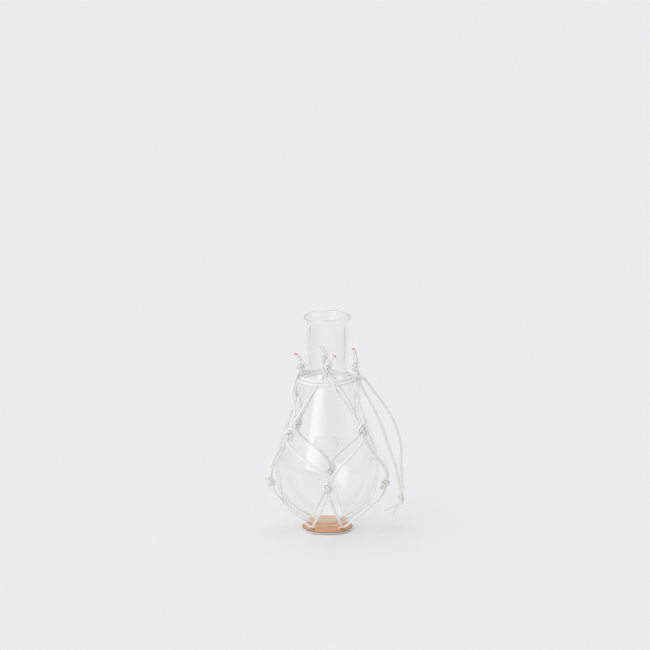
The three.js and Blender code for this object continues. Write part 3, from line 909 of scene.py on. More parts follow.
class Crossing(NamedTuple):
    """How a cord passes the drawstring's turns: their edges along the glass and how far it is lifted."""

    low: float
    high: float
    lift: float

    def past(self, along: Array) -> Array:
        """Gives how far places along the glass lie past the turns."""
        return np.maximum(np.maximum(self.low - along, along - self.high), 0.0)


@dataclass(frozen=True)
class NetShape:
    """How the net's cords lie: through the base, on the glass between knots, and past the drawstring.

    The slacks are in millimetres, for the left and right leg of each face.
    """

    side: GlassSide
    base: BaseShape
    cord: RoundCord
    clearance: float = 0.05 * MM
    crossing_gap: float = 0.12 * MM
    crossing_reach: float = 2.2
    collar_height: float = 116.5 * MM
    base_ease: float = 0.2
    knot_ease: float = 0.9
    collar_ease: float = 0.8
    base_settle: float = 6 * MM
    knot_settle: float = 12 * MM
    out_settle: float = 3.0
    run_step: float = 1.5 * MM
    tail_bend: float = 0.45
    tight: Triple = (1.08, 0.78, 0.85)
    squeeze: float = 0.16
    squeeze_reach: float = 2.0
    squeeze_start: float = 0.8
    hole_bend: float = 0.75
    hole_reach: float = 1.95
    hole_rise: float = 0.3
    lower: tuple[KnotPlace, ...] = (
        KnotPlace(1, 42.8 * MM, 4),
        KnotPlace(88, 36.6 * MM, -5, 3.0 * MM, 60),
        KnotPlace(176, 34.1 * MM, 3),
        KnotPlace(-88, 37.6 * MM, 6, 1.2 * MM, -60),
    )
    upper: tuple[KnotPlace, ...] = (
        KnotPlace(-54, 78.4 * MM, 7, 1.1 * MM, -30),
        KnotPlace(47, 81.6 * MM, -6, 1.0 * MM, 30),
        KnotPlace(133, 75.6 * MM, 4),
        KnotPlace(219, 74.6 * MM, -4),
    )
    top: tuple[TopKnotPlace, ...] = (
        TopKnotPlace(-3, 5.6 * MM, 12, 0.0, 0, (4.2 * MM, 6.5 * MM, 2.2 * MM)),
        TopKnotPlace(90, 5.6 * MM, -3, 2.8 * MM, -50, (-1.2 * MM, 8.0 * MM, -1.6 * MM)),
        TopKnotPlace(182, 3.6 * MM, 8, 0.6 * MM, 0, (3.4 * MM, 7.0 * MM, 0.4 * MM)),
        TopKnotPlace(277, 3.0 * MM, 4, 1.8 * MM, -60, (1.0 * MM, 6.0 * MM, 3.6 * MM)),
    )
    base_slack: Pairs = ((0.0, 0.0), (0.4, 0.4), (0.0, 0.0), (0.6, 0.6))
    knot_slack: Pairs = ((0.0, 0.0), (0.8, 0.4), (0.0, 0.0), (0.4, 0.0))
    collar_slack: Pairs = ((0.0, 0.0), (1.8, 1.2), (0.5, 0.0), (1.0, 4.4))
    slack_peak: float = 0.68

    @property
    def rest(self) -> float:
        """How far the middle of a cord that lies on the glass is from it."""
        return self.cord.radius + self.clearance

    @property
    def pitch(self) -> float:
        """How far apart the middles of two cords lie side by side."""
        return self.cord.diameter + self.clearance

    def collar(self) -> Collar:
        """Gives the drawstring's turns, which lie on the cords that pass under them."""
        off = self.rest + self.cord.diameter + self.crossing_gap
        return Collar(self.side, self.side.at_height(self.collar_height), off)

    def set_knot(self, knot: Cords, middle: Array, axes: Array, hand: Hand, tight: Triple) -> Cords:
        """Sets a tied knot in place.

        Args:
            knot: The tied knot's cords, in cord diameters.
            middle: Where its middle goes.
            axes: The directions up, right and out, as rows.
            hand: Which way round it is tied.
            tight: How much longer, narrower and flatter the pull on soft cord makes it.

        Returns:
            Its left and right cords.
        """
        turned = np.array([1, hand.value, 1]) * tight
        left, right = (middle + (points * turned * self.cord.diameter) @ axes for points in knot)
        return (left, right) if hand is Hand.RIGHT else (right, left)

    def knot_on_glass(
        self, knot: Cords, place: KnotPlace | TopKnotPlace, along: float, hand: Hand
    ) -> SetKnot:
        """Sets a knot on the glass.

        Args:
            knot: The tied knot's cords.
            place: Its turn, its lean and its distance off the glass.
            along: Distance along the glass.
            hand: Which way round it is tied.

        Returns:
            The knot in place.
        """
        angle = angle_of(place.turn)
        nr, nz = self.side.lean(along)
        out = np.array([nr * math.cos(angle), nr * math.sin(angle), nz])
        level = np.array([-math.sin(angle), math.cos(angle), 0.0])
        steep = np.cross(out, level)
        tilt = math.radians(place.lean)
        up = steep * math.cos(tilt) + level * math.sin(tilt)
        right = level * math.cos(tilt) - steep * math.sin(tilt)
        depth = max(float(-points[:, 2].min()) for points in knot) * self.tight[2] * self.cord.diameter
        middle = self.side.points(angle, along, depth + self.rest + place.out)
        spin = math.radians(place.spin)
        across = right * math.cos(spin) + out * math.sin(spin)
        axes = np.stack([up, across, np.cross(up, across)])
        return SetKnot(self.set_knot(knot, middle, axes, hand, self.tight), up, right, out)

    def run(
        self,
        start: Array,
        end: Array,
        settle: Pair,
        ease: float,
        slack: float,
        crossing: Crossing | None = None,
    ) -> Array:
        """Lays a stretch of cord on the glass between two of its points, without them.

        It goes the shortest way, as a taut cord does, turns less at its ends, and comes down to the
        glass from each end's height within a settling length.

        Args:
            start: Where it starts.
            end: Where it ends.
            settle: The settling lengths at its start and end.
            ease: How far its turning slows at both ends, from 0 for a steady rate to 1.
            slack: How far it stands off the glass between its ends, most where slack_peak says.
            crossing: How it passes the drawstring's turns.

        Returns:
            Its points.
        """
        a = self.side.place(start)
        b = self.side.place(end)
        turn = (b.angle - a.angle + math.pi) % (2 * math.pi) - math.pi
        length = abs(b.along - a.along)
        count = math.ceil(float(np.linalg.norm(end - start)) / self.run_step)
        share = np.arange(1, count) / count
        along = a.along + (b.along - a.along) * share
        rise = (a.off - self.rest) * fade(share * length / settle[0])
        rise = rise + (b.off - self.rest) * fade((1 - share) * length / settle[1])
        eased = share + (1 - fade(share) - share) * ease
        gone = np.interp(eased, *self.side.taut(a.along, b.along, abs(turn), self.rest))
        power = math.log(0.5) / math.log(self.slack_peak)
        loose = slack * np.sin(math.pi * share**power) ** 2
        if crossing:
            near = fade(crossing.past(along) / (self.crossing_reach * self.cord.diameter))
            loose = loose + (crossing.lift - loose) * near
        return self.side.points(a.angle + turn * gone, along, self.rest + rise + loose)

    def squeezed(self, path: Array, middles: Array) -> Array:
        """Gives how thick a cord is along a path, as a share: knots squeeze it.

        Args:
            path: The cord's middle line.
            middles: The middles of the knots.

        Returns:
            The share at each point.
        """
        gap = np.linalg.norm(path[:, None, :] - middles[None, :, :], axis=2).min(axis=1)
        reach = self.squeeze_reach * self.cord.diameter
        return 1 - self.squeeze * fade((gap - self.squeeze_start * reach) / reach)

    def leg(self, face: int, side: Side, knots: "NetKnots") -> Array:
        """Gives one leg of a net cord from the base to its tail.

        Args:
            face: The face of the net: 0 front, 1 right, 2 back and 3 left.
            side: Which of the cord's two legs.
            knots: The net's knots in place.

        Returns:
            The points that the leg passes through.
        """
        left = side is Side.LEFT
        diameter = self.cord.diameter
        near = face if left else face + 1
        far = face + 1 if left else face
        _, out, _ = self.base.hole(near)
        inside = self.base.cord_in_hole(near, Side.RIGHT if left else Side.LEFT, self.pitch)
        other = self.base.cord_in_hole(far, side, self.pitch)
        groove = inside + unit(other - inside) * diameter
        level = self.base.cord_level
        free = self.base.top + self.rest + self.hole_rise * diameter
        up = np.array([0.0, 0.0, 1.0])
        rising = np.stack(
            [
                groove + up * level,
                inside + up * (level + self.cord.radius),
                inside + out * self.hole_bend * diameter + up * (self.base.top + self.cord.radius),
                inside + out * self.hole_reach * diameter + up * free,
            ]
        )
        own = 0 if left else 1
        lower = knots.lower[face].cords[own]
        upper = knots.upper[face if left else (face + 1) % 4].cords[1 - own]
        knot = knots.top[face]
        top = knot.cords[own]
        place = self.top[face]
        tip = top[-1] + knot.right * place.tail[0] + knot.up * place.tail[1] + knot.out * place.tail[2]
        bend = top[-1] + (tip - top[-1]) * self.tail_bend + knot.up * self.cord.radius
        lift = 0.0 if left else 2 * (diameter + self.crossing_gap)
        crossing = Crossing(*knots.collar.band(place.turn), lift)
        lower_settle = self.knot_settle + self.out_settle * self.lower[face].out
        top_settle = (self.knot_settle, place.rise)
        slack = [each[face][own] * MM for each in (self.base_slack, self.knot_slack, self.collar_slack)]
        return np.vstack(
            [
                rising,
                self.run(rising[-1], lower[0], (self.base_settle, lower_settle), self.base_ease, slack[0]),
                lower,
                self.run(lower[-1], upper[0], (lower_settle, self.knot_settle), self.knot_ease, slack[1]),
                upper,
                self.run(upper[-1], top[0], top_settle, self.collar_ease, slack[2], crossing),
                top,
                bend,
                tip,
            ]
        )


class NetKnots:
    """Every knot of the net, set in place on the glass."""

    def __init__(self, shape: NetShape) -> None:
        """Ties the knot once and sets it at each place.

        Args:
            shape: How the net lies.
        """
        self.tied = OverhandKnot().tie()
        self.collar = shape.collar()
        half = OverhandKnot.half * shape.tight[0] * shape.cord.diameter
        at = shape.side.at_height
        above = [self.collar.band(k.turn)[1] + k.rise + half for k in shape.top]
        self.lower = [shape.knot_on_glass(self.tied, k, at(k.height), Hand.LEFT) for k in shape.lower]
        self.upper = [shape.knot_on_glass(self.tied, k, at(k.height), Hand.RIGHT) for k in shape.upper]
        self.top = [shape.knot_on_glass(self.tied, k, on, Hand.RIGHT) for k, on in zip(shape.top, above)]
        every = [*self.lower, *self.upper, *self.top]
        self.middles = np.stack([np.vstack(knot.cords).mean(axis=0) for knot in every])


class Wiring:
    """Adds nodes to a shader tree and links them."""

    def __init__(self, tree: bpy.types.NodeTree) -> None:
        """Starts with an empty tree.

        Args:
            tree: The tree to fill.
        """
        self.tree = tree
        tree.nodes.clear()

    def add(self, kind: str, inputs: dict | None = None, **settings: object) -> Node:
        """Adds a node.

        Args:
            kind: The node's type, without the word ShaderNode.
            inputs: Values or output sockets for its inputs, by name or number.
            settings: Properties of the node.

        Returns:
            The node.
        """
        node = self.tree.nodes.new(kind if kind.startswith("Node") else "ShaderNode" + kind)
        for name, value in settings.items():
            setattr(node, name, value)
        for name, value in (inputs or {}).items():
            if isinstance(value, Socket):
                self.tree.links.new(value, node.inputs[name])
            else:
                node.inputs[name].default_value = value
        return node

    def calc(self, operation: str, *values: object, clamp: bool = False) -> Socket:
        """Works a sum on values or sockets."""
        return self.add("Math", dict(enumerate(values)), operation=operation, use_clamp=clamp).outputs[0]

    def product(self, *values: Socket) -> Socket:
        """Multiplies values together."""
        return reduce(lambda a, b: self.calc("MULTIPLY", a, b), values)

    def ramp(
        self, value: Socket, ends: Pair = (0.0, 1.0), to: Pair = (0.0, 1.0), smooth: bool = False
    ) -> Socket:
        """Carries a value between two ends over to another two, level outside them.

        Args:
            value: The value.
            ends: Where the change starts and where it is complete.
            to: What comes out at its start and at its end.
            smooth: Whether the change eases in and out.

        Returns:
            The new value.
        """
        inputs = dict(enumerate((value, *ends, *to)))
        kind = "SMOOTHSTEP" if smooth else "LINEAR"
        return self.add("MapRange", inputs, interpolation_type=kind).outputs[0]

    def blend(self, share: Socket, a: object, b: object) -> Socket:
        """Mixes two colours, or colour sockets, by a share."""
        return self.add("Mix", {0: share, 6: a, 7: b}, data_type="RGBA").outputs[2]

    def dot(self, way: Socket, axis: Triple) -> Socket:
        """Gives how far a direction lies along an axis."""
        return self.add("VectorMath", {0: way, 1: axis}, operation="DOT_PRODUCT").outputs["Value"]

    def axes(self, way: Socket) -> bpy.types.NodeOutputs:
        """Splits a place or a direction into X, Y and Z."""
        return self.add("SeparateXYZ", {0: way}).outputs

    def facing(self) -> Socket:
        """Gives how far the surface turns away, from 0 for face on to 1 for edge on."""
        return self.add("LayerWeight", {"Blend": 0.5}).outputs["Facing"]

    def grain(self, group: Group, place: Socket, size: float) -> bpy.types.NodeOutputs:
        """Adds the leather group at a place, for one size of grain."""
        return self.add("Group", {"Place": place, "Grain": size}, node_tree=group).outputs

    def bump(self, height: Socket, strength: float, depth: float) -> Socket:
        """Gives the normal of a finely uneven surface."""
        return self.add("Bump", {"Height": height, "Strength": strength, "Distance": depth}).outputs[0]

    def mix(self, share: Socket, first: Node, second: Node) -> Node:
        """Mixes two shaders by a share."""
        return self.add("MixShader", {0: share, 1: first.outputs[0], 2: second.outputs[0]})


def leather_grain() -> Group:
    """Makes the group for leather: pores, fine fibres and slow changes of tone, at a given grain size.

    Returns:
        The group, with Place and Grain as inputs and Pores, Mottle and Height as outputs.
    """
    group = bpy.data.node_groups.new("leather_grain", "ShaderNodeTree")
    group.interface.new_socket("Place", in_out="INPUT", socket_type="NodeSocketVector")
    group.interface.new_socket("Grain", in_out="INPUT", socket_type="NodeSocketFloat")
    for name in ("Pores", "Mottle", "Height"):
        group.interface.new_socket(name, in_out="OUTPUT", socket_type="NodeSocketFloat")
    wire = Wiring(group)
    given = wire.add("NodeGroupInput").outputs
    scale = wire.calc("DIVIDE", 1.0, given["Grain"])
    place = wire.add("VectorMath", {0: given["Place"], "Scale": scale}, operation="SCALE").outputs[0]
    cells = wire.add("TexVoronoi", {"Vector": place, "Scale": 0.7, "Randomness": 0.9}, feature="SMOOTH_F1")
    fibres = wire.add("TexNoise", {"Vector": place, "Scale": 1.6, "Detail": 5.0, "Roughness": 0.6})
    tone = wire.add("TexNoise", {"Vector": place, "Scale": 0.05, "Detail": 3.0, "Roughness": 0.55})
    pores = wire.ramp(cells.outputs["Distance"], ends=(0.1, 0.7))
    mottle = wire.ramp(tone.outputs[0], ends=(0.35, 0.65))
    fibre_share = 0.55
    height = wire.add("Mix", {0: fibre_share, 2: pores, 3: fibres.outputs[0]}).outputs[0]
    wire.add("NodeGroupOutput", {"Pores": pores, "Mottle": mottle, "Height": height})
    return group


def new_material(name: str) -> tuple[Material, Wiring]:
    """Makes an empty node material and the wiring to fill it."""
    material = bpy.data.materials.new(name)
    material.use_nodes = True
    return material, Wiring(material.node_tree)


@dataclass(frozen=True)
class CordLeather:
    """White coated leather cord with a fine grain, painted shade greying it where its surface turns away from view, and
    a brown core where it is cut.
    """

    white: Colour = tint(248, 248, 246)
    shade: Colour = tint(243, 243, 240)
    # side and turn: painted shade, the grey that the cord takes towards its edges as seen, which grows with the facing
    # raised to this power.
    side: Colour = tint(218, 218, 217)
    turn: float = 2.2
    core: Colour = tint(148, 54, 30)
    grain: float = 0.3 * MM
    bump: float = 0.5
    depth: float = 0.012 * MM
    roughness: Pair = (0.56, 0.4)
    specular: float = 0.4

    def build(self, group: Group) -> Material:
        """Makes the material.

        Args:
            group: The leather group.

        Returns:
            The material.
        """
        material, wire = new_material("white_cord_leather")
        place = wire.add("Attribute", attribute_name="along_cord").outputs["Vector"]
        cut = wire.add("Attribute", attribute_name="cut").outputs["Fac"]
        grain = wire.grain(group, place, self.grain)
        cord_colour = wire.blend(grain["Mottle"], self.white, self.shade)
        # Painted shade: the colour greys towards side as the surface turns edge on.
        cord_colour = wire.blend(wire.calc("POWER", wire.facing(), self.turn), cord_colour, self.side)
        shader = wire.add(
            "BsdfPrincipled",
            {
                "Base Color": wire.blend(cut, cord_colour, self.core),
                "Roughness": wire.ramp(grain["Pores"], to=self.roughness),
                "Normal": wire.bump(grain["Height"], self.bump, self.depth),
                "Specular IOR Level": self.specular,
            },
        )
        wire.add("OutputMaterial", {"Surface": shader.outputs[0]})
        return material


@dataclass(frozen=True)
class DiscLeather:
    """Leather of the base's discs: a face with its own nap and colours, and an edge colour at the cut edge, which on
    the tan disc is a darker brown, partly the cut edge's own colour and partly painted shade of the side wall.
    """

    name: str
    face: Colour
    shade: Colour
    # edge: the colour near the cut edge; on the tan disc it is partly the edge's own darker colour and partly painted
    # shade.
    edge: Colour
    edge_radius: float
    edge_width: float
    roughness: float
    grain: float
    depth: float
    bump: float = 0.7
    smoother: float = 0.08
    fibre_ends: Pair = (0.2, 0.8)
    fibre_share: float = 0.6
    specular: float = 0.25
    sheen: float = 0.1

    def build(self, group: Group) -> Material:
        """Makes the material.

        Args:
            group: The leather group.

        Returns:
            The material.
        """
        material, wire = new_material(self.name)
        place = wire.add("TexCoord").outputs["Object"]
        grain = wire.grain(group, place, self.grain)
        flat = wire.add("VectorMath", {0: place, 1: (1.0, 1.0, 0.0)}, operation="MULTIPLY").outputs[0]
        radius = wire.add("VectorMath", {0: flat}, operation="LENGTH").outputs["Value"]
        # rim masks the band at the cut edge, where the edge colour carries painted shade as well as the edge's own
        # colour.
        rim = wire.ramp(radius, (self.edge_radius - self.edge_width, self.edge_radius), smooth=True)
        fibre = wire.ramp(grain["Height"], self.fibre_ends, (0.0, self.fibre_share))
        nap = wire.blend(grain["Mottle"], self.face, self.shade)
        nap = wire.blend(fibre, nap, self.shade)
        shader = wire.add(
            "BsdfPrincipled",
            {
                "Base Color": wire.blend(rim, nap, self.edge),
                "Roughness": wire.ramp(grain["Pores"], to=(self.roughness, self.roughness - self.smoother)),
                "Normal": wire.bump(grain["Height"], self.bump, self.depth),
                "Specular IOR Level": self.specular,
                "Sheen Weight": self.sheen,
            },
        )
        wire.add("OutputMaterial", {"Surface": shader.outputs[0]})
        return material


@dataclass(frozen=True)
class ClearGlass:
    """Clear thin glass, with a faint green-yellow tint in its thick lip.

    Soft light passes straight through it, and so do the camera's own rays where the side turns away,
    which keeps dark bands out of its outline. Each pair gives where such a change starts and ends.
    """

    body: Colour = (0.988, 0.99, 0.985, 1.0)
    lip: Colour = (0.4, 0.44, 0.22, 1.0)
    lip_turn: float = 2.4
    lip_heights: Pair = (0.1615, 0.1655)
    edge: Colour = (0.93, 0.94, 0.89, 1.0)
    edge_turn: float = 3.0
    passed: Colour = (0.995, 0.996, 0.995, 1.0)
    ior: float = 1.47
    inside_turns: float = 3.5
    clear_turn: Pair = (0.58, 0.70)
    clear_share: float = 0.98
    clear_from: Pair = (0.018, 0.034)
    clear_to: Pair = (0.161, 0.158)
    clear_edge: Colour = (0.94, 0.945, 0.93, 1.0)
    neck_from: Pair = (0.112, 0.124)
    neck_turn: float = 0.17

    def build(self) -> Material:
        """Makes the material.

        Returns:
            The material.
        """
        material, wire = new_material("clear_glass")
        height = wire.axes(wire.add("TexCoord").outputs["Object"])["Z"]
        facing = wire.facing()
        edge = wire.calc("POWER", facing, self.edge_turn)
        thick = wire.product(wire.ramp(height, self.lip_heights), wire.calc("POWER", facing, self.lip_turn))
        shader = wire.add(
            "BsdfPrincipled",
            {
                "Base Color": wire.blend(thick, wire.blend(edge, self.body, self.edge), self.lip),
                "Roughness": 0.0,
                "IOR": self.ior,
                "Transmission Weight": 1.0,
            },
        )
        ray = wire.add("LightPath").outputs
        late = wire.calc("GREATER_THAN", ray["Glossy Depth"], self.inside_turns)
        away = wire.calc("ADD", facing, wire.ramp(height, self.neck_from, (0.0, self.neck_turn)))
        clear = wire.product(
            wire.ramp(away, self.clear_turn, (0.0, self.clear_share)),
            wire.ramp(height, self.clear_from),
            wire.ramp(height, self.clear_to),
            ray["Is Camera Ray"],
        )
        straight = ray["Is Shadow Ray"]
        for cause in (ray["Is Diffuse Ray"], late, clear):
            straight = wire.calc("MAXIMUM", straight, cause)
        open_way = wire.add("BsdfTransparent", {"Color": wire.blend(edge, self.passed, self.clear_edge)})
        mixed = wire.mix(straight, shader, open_way)
        wire.add("OutputMaterial", {"Surface": mixed.outputs[0]})
        return material


@dataclass(frozen=True)
class SpotEnamel:
    """The pale enamel of the round marking spot, worn thin in places."""

    pale: Colour = tint(252, 252, 250)
    worn: Colour = tint(246, 247, 244)
    cover: Pair = (0.6, 0.75)
    roughness: Pair = (0.75, 0.6)
    grain: float = 0.4 * MM

    def build(self, group: Group) -> Material:
        """Makes the material.

        Args:
            group: The group that gives its mottling.

        Returns:
            The material.
        """
        material, wire = new_material("spot_enamel")
        grain = wire.grain(group, wire.add("TexCoord").outputs["Object"], self.grain)
        shader = wire.add(
            "BsdfPrincipled",
            {
                "Base Color": wire.blend(grain["Mottle"], self.pale, self.worn),
                "Roughness": wire.ramp(grain["Pores"], to=self.roughness),
                "Alpha": wire.ramp(grain["Height"], to=self.cover),
            },
        )
        wire.add("OutputMaterial", {"Surface": shader.outputs[0]})
        return material


def dress(piece: Piece, material: Material, slot: str, body: str) -> None:
    """Gives a piece its material, its record slot and the body that it rides on.

    Args:
        piece: The piece.
        material: Its material.
        slot: The record's material slot.
        body: The body's name.
    """
    piece.data.materials.append(material)
    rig.slot(piece, slot)
    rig.ride(piece, body)
    log.info("made %s with %d faces", piece.name, len(piece.data.polygons))


def slump(piece: Piece, keep: float = 0.55) -> None:
    """Lets a piece of the net sink towards the base as the flask lifts out of it."""
    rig.squash(piece, LIFT, axis=(0, 0, 1), anchor=(0, 0, 0), keep=keep)


@dataclass
class GlassFlask:
    """The flask and its marking spot."""

    shape: FlaskShape
    side: GlassSide
    columns: int = 288
    spot_turn: float = -2.4
    spot_height: float = 76.0 * MM
    spot_half_width: float = 9.2 * MM
    spot_half_height: float = 5.8 * MM
    spot_roundness: float = 2.7
    spot_off: float = 0.04 * MM
    spot_thickness: float = 0.05 * MM
    spot_columns: int = 72
    spot_rings: int = 10

    def build(self, glass: Material, enamel: Material) -> None:
        """Makes the glass and the spot on it.

        Args:
            glass: The glass's material.
            enamel: The spot's material.
        """
        piece = lathe("flask_glass", self.shape.profile(), self.columns)
        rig.replaces(piece, "glass_flask")
        dress(piece, glass, "clear_glass", FLASK)
        dress(self.spot(), enamel, "clear_glass", FLASK)

    def spot(self) -> Piece:
        """Makes the marking spot, a thin closed patch that lies on the glass.

        Its outline is |x/a|^n + |y/b|^n = 1, with rings between it and the middle. Its front and its
        back are the same patch at two distances from the glass.

        Returns:
            The patch.
        """
        turn = np.linspace(0, 2 * math.pi, self.spot_columns, endpoint=False)
        power = 2 / self.spot_roundness
        x = self.spot_half_width * np.sign(np.cos(turn)) * np.abs(np.cos(turn)) ** power
        y = self.spot_half_height * np.sign(np.sin(turn)) * np.abs(np.sin(turn)) ** power
        outwards = np.linspace(1 / self.spot_rings, 1.0, self.spot_rings)
        share = np.concatenate([outwards, outwards[::-1]])[:, None]
        off = self.spot_off + self.spot_thickness * np.repeat([0.0, 1.0], self.spot_rings)[:, None]
        middle = self.side.at_height(self.spot_height)
        radius = float(np.interp(middle, self.side.along, self.side.r))
        angle = angle_of(self.spot_turn) + share * x / radius
        rows = self.side.points(angle, middle + share * y, off)
        ends = self.side.points(angle_of(self.spot_turn), middle, off[[0, -1], 0])
        return closed_rows("marking_spot", rows, *ends)


@dataclass
class LeatherBase:
    """The two leather discs, rounded at their edges and cut for the cords."""

    shape: BaseShape
    cord: RoundCord
    play: float = 0.12 * MM
    round_edge: float = 0.22 * MM
    columns: int = 160
    edge_points: int = 6
    face_rings: int = 24
    uneven: Pairs = ((0.003, 3), (0.0015, 7))
    upper_phase: float = 0.4
    lower_phase: float = 2.1
    skive_start: float = 14.5 * MM
    skive_depth: float = 0.56
    curl_start: float = 16.5 * MM
    curl: float = 0.5 * MM
    rod_sides: int = 28
    sharp_angle: float = 40.0

    def build(self, tan: Material, white: Material) -> None:
        """Makes both discs.

        Args:
            tan: The upper disc's material.
            white: The lower disc's material.
        """
        s = self.shape
        upper = self.disc("base_upper_leather", s.upper_radius, s.upper_bottom, s.top, self.upper_phase)
        lower = self.disc("base_lower_leather", s.lower_radius, 0.0, s.lower_top, self.lower_phase)
        for piece in (upper, lower):
            self.cut(piece)
            self.skive(piece)
        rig.replaces(upper, "base_disc_upper")
        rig.replaces(lower, "base_disc_lower")
        dress(upper, tan, "tan_leather", HOLDER)
        dress(lower, white, "white_leather", HOLDER)

    def disc(self, name: str, radius: float, low: float, high: float, phase: float) -> Piece:
        """Turns a disc with rounded edges and a slightly uneven outline, the sum of two sines.

        Args:
            name: The object's name.
            radius: Its radius.
            low: The height of its underside.
            high: The height of its top.
            phase: Where its unevenness starts.

        Returns:
            The disc.
        """
        edge = self.round_edge
        turn = np.linspace(-QUARTER, 0, self.edge_points)[:, None]
        corner = edge * np.hstack([np.cos(turn), np.sin(turn)])
        lower = np.array([radius - edge, low + edge]) + corner
        upper = np.array([radius - edge, high - edge]) + corner[::-1] * [1, -1]
        inner = np.linspace(0, radius - edge, self.face_rings)[:-1, None]
        under = np.hstack([inner, np.full_like(inner, low)])
        over = np.hstack([inner[::-1], np.full_like(inner, high)])
        profile = np.vstack([under, lower, upper, over])
        (first, turns), (second, more_turns) = self.uneven

        def wave(angle: Array) -> Array:
            """Gives the share to add to the radius at an angle."""
            return first * np.sin(turns * angle + phase) + second * np.sin(more_turns * angle + 2 * phase)

        return lathe(name, profile, self.columns, wave)

    def skive(self, piece: Piece) -> None:
        """Thins a disc towards its edge, as leather is skived, and curls the edge up off the floor.

        Each height is scaled by 1 - t s(r), where s eases from 0 at the start of the slope to 1 at
        the edge, and the curl is added in the same way.

        Args:
            piece: The disc.
        """
        flat = np.empty(len(piece.data.vertices) * 3)
        piece.data.vertices.foreach_get("co", flat)
        points = flat.reshape(-1, 3)
        radius = np.hypot(points[:, 0], points[:, 1])
        start, end = self.skive_start, self.shape.lower_radius
        points[:, 2] *= 1 - self.skive_depth * (1 - fade((radius - start) / (end - start)))
        points[:, 2] += self.curl * (1 - fade((radius - self.curl_start) / (end - self.curl_start)))
        piece.data.vertices.foreach_set("co", points.ravel())
        piece.data.update()

    def cutters(self) -> list[Piece]:
        """Makes the rods that cut the four holes and the four grooves between them.

        Returns:
            The rods.
        """
        s = self.shape
        pitch = self.cord.diameter + self.play
        bore = self.cord.radius + self.play
        rise = np.array([[0, 0, s.cord_level - bore], [0, 0, s.top + MM]])
        tools = []
        for face in range(4):
            tools.append(self.rod(s.hole(face)[0] + rise, pitch / 2 + bore))
            start = s.cord_in_hole(face, Side.RIGHT, pitch)
            end = s.cord_in_hole(face + 1, Side.LEFT, pitch)
            tools.append(self.rod(np.stack([start, end]) + [0, 0, s.cord_level], bore))
        return tools

    def rod(self, ends: Array, radius: float) -> Piece:
        """Makes a closed rod between two points."""
        _, ring = rings(self.rod_sides, *carried_frames(ends)[1:])
        return closed_rows("cutter", ends[:, None, :] + radius * ring, *ends)

    def cut(self, piece: Piece) -> None:
        """Cuts the holes and grooves out of a disc and sharpens the edges that they leave.

        Args:
            piece: The disc.
        """
        tools = self.cutters()
        for tool in tools:
            step = piece.modifiers.new("cut", "BOOLEAN")
            step.object = tool
            step.solver = "EXACT"
        bpy.context.view_layer.update()
        whole = piece.evaluated_get(bpy.context.evaluated_depsgraph_get())
        mesh = bpy.data.meshes.new_from_object(whole)
        piece.modifiers.clear()
        piece.data = mesh
        mesh.shade_smooth()
        mesh.set_sharp_from_angle(angle=math.radians(self.sharp_angle))
        for tool in tools:
            bpy.data.objects.remove(tool)


@dataclass
class CordNet:
    """The four cords of the net."""

    shape: NetShape
    knots: NetKnots

    def build(self, leather: Material) -> None:
        """Makes the four cords, each from one tail through its two knotted legs to the other tail.

        Args:
            leather: The cord's material.
        """
        for face, name in enumerate(("front", "right", "back", "left")):
            left, right = (self.shape.leg(face, side, self.knots) for side in Side)
            path = smooth_path(np.vstack([left[::-1], right]), self.shape.cord.step)
            thick = self.shape.squeezed(path, self.knots.middles)
            piece = self.shape.cord.lay(f"net_{name}", path, CordEnds(True, True), thick)
            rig.replaces(piece, f"net_cord_{name}")
            dress(piece, leather, "white_leather", HOLDER)
            slump(piece)


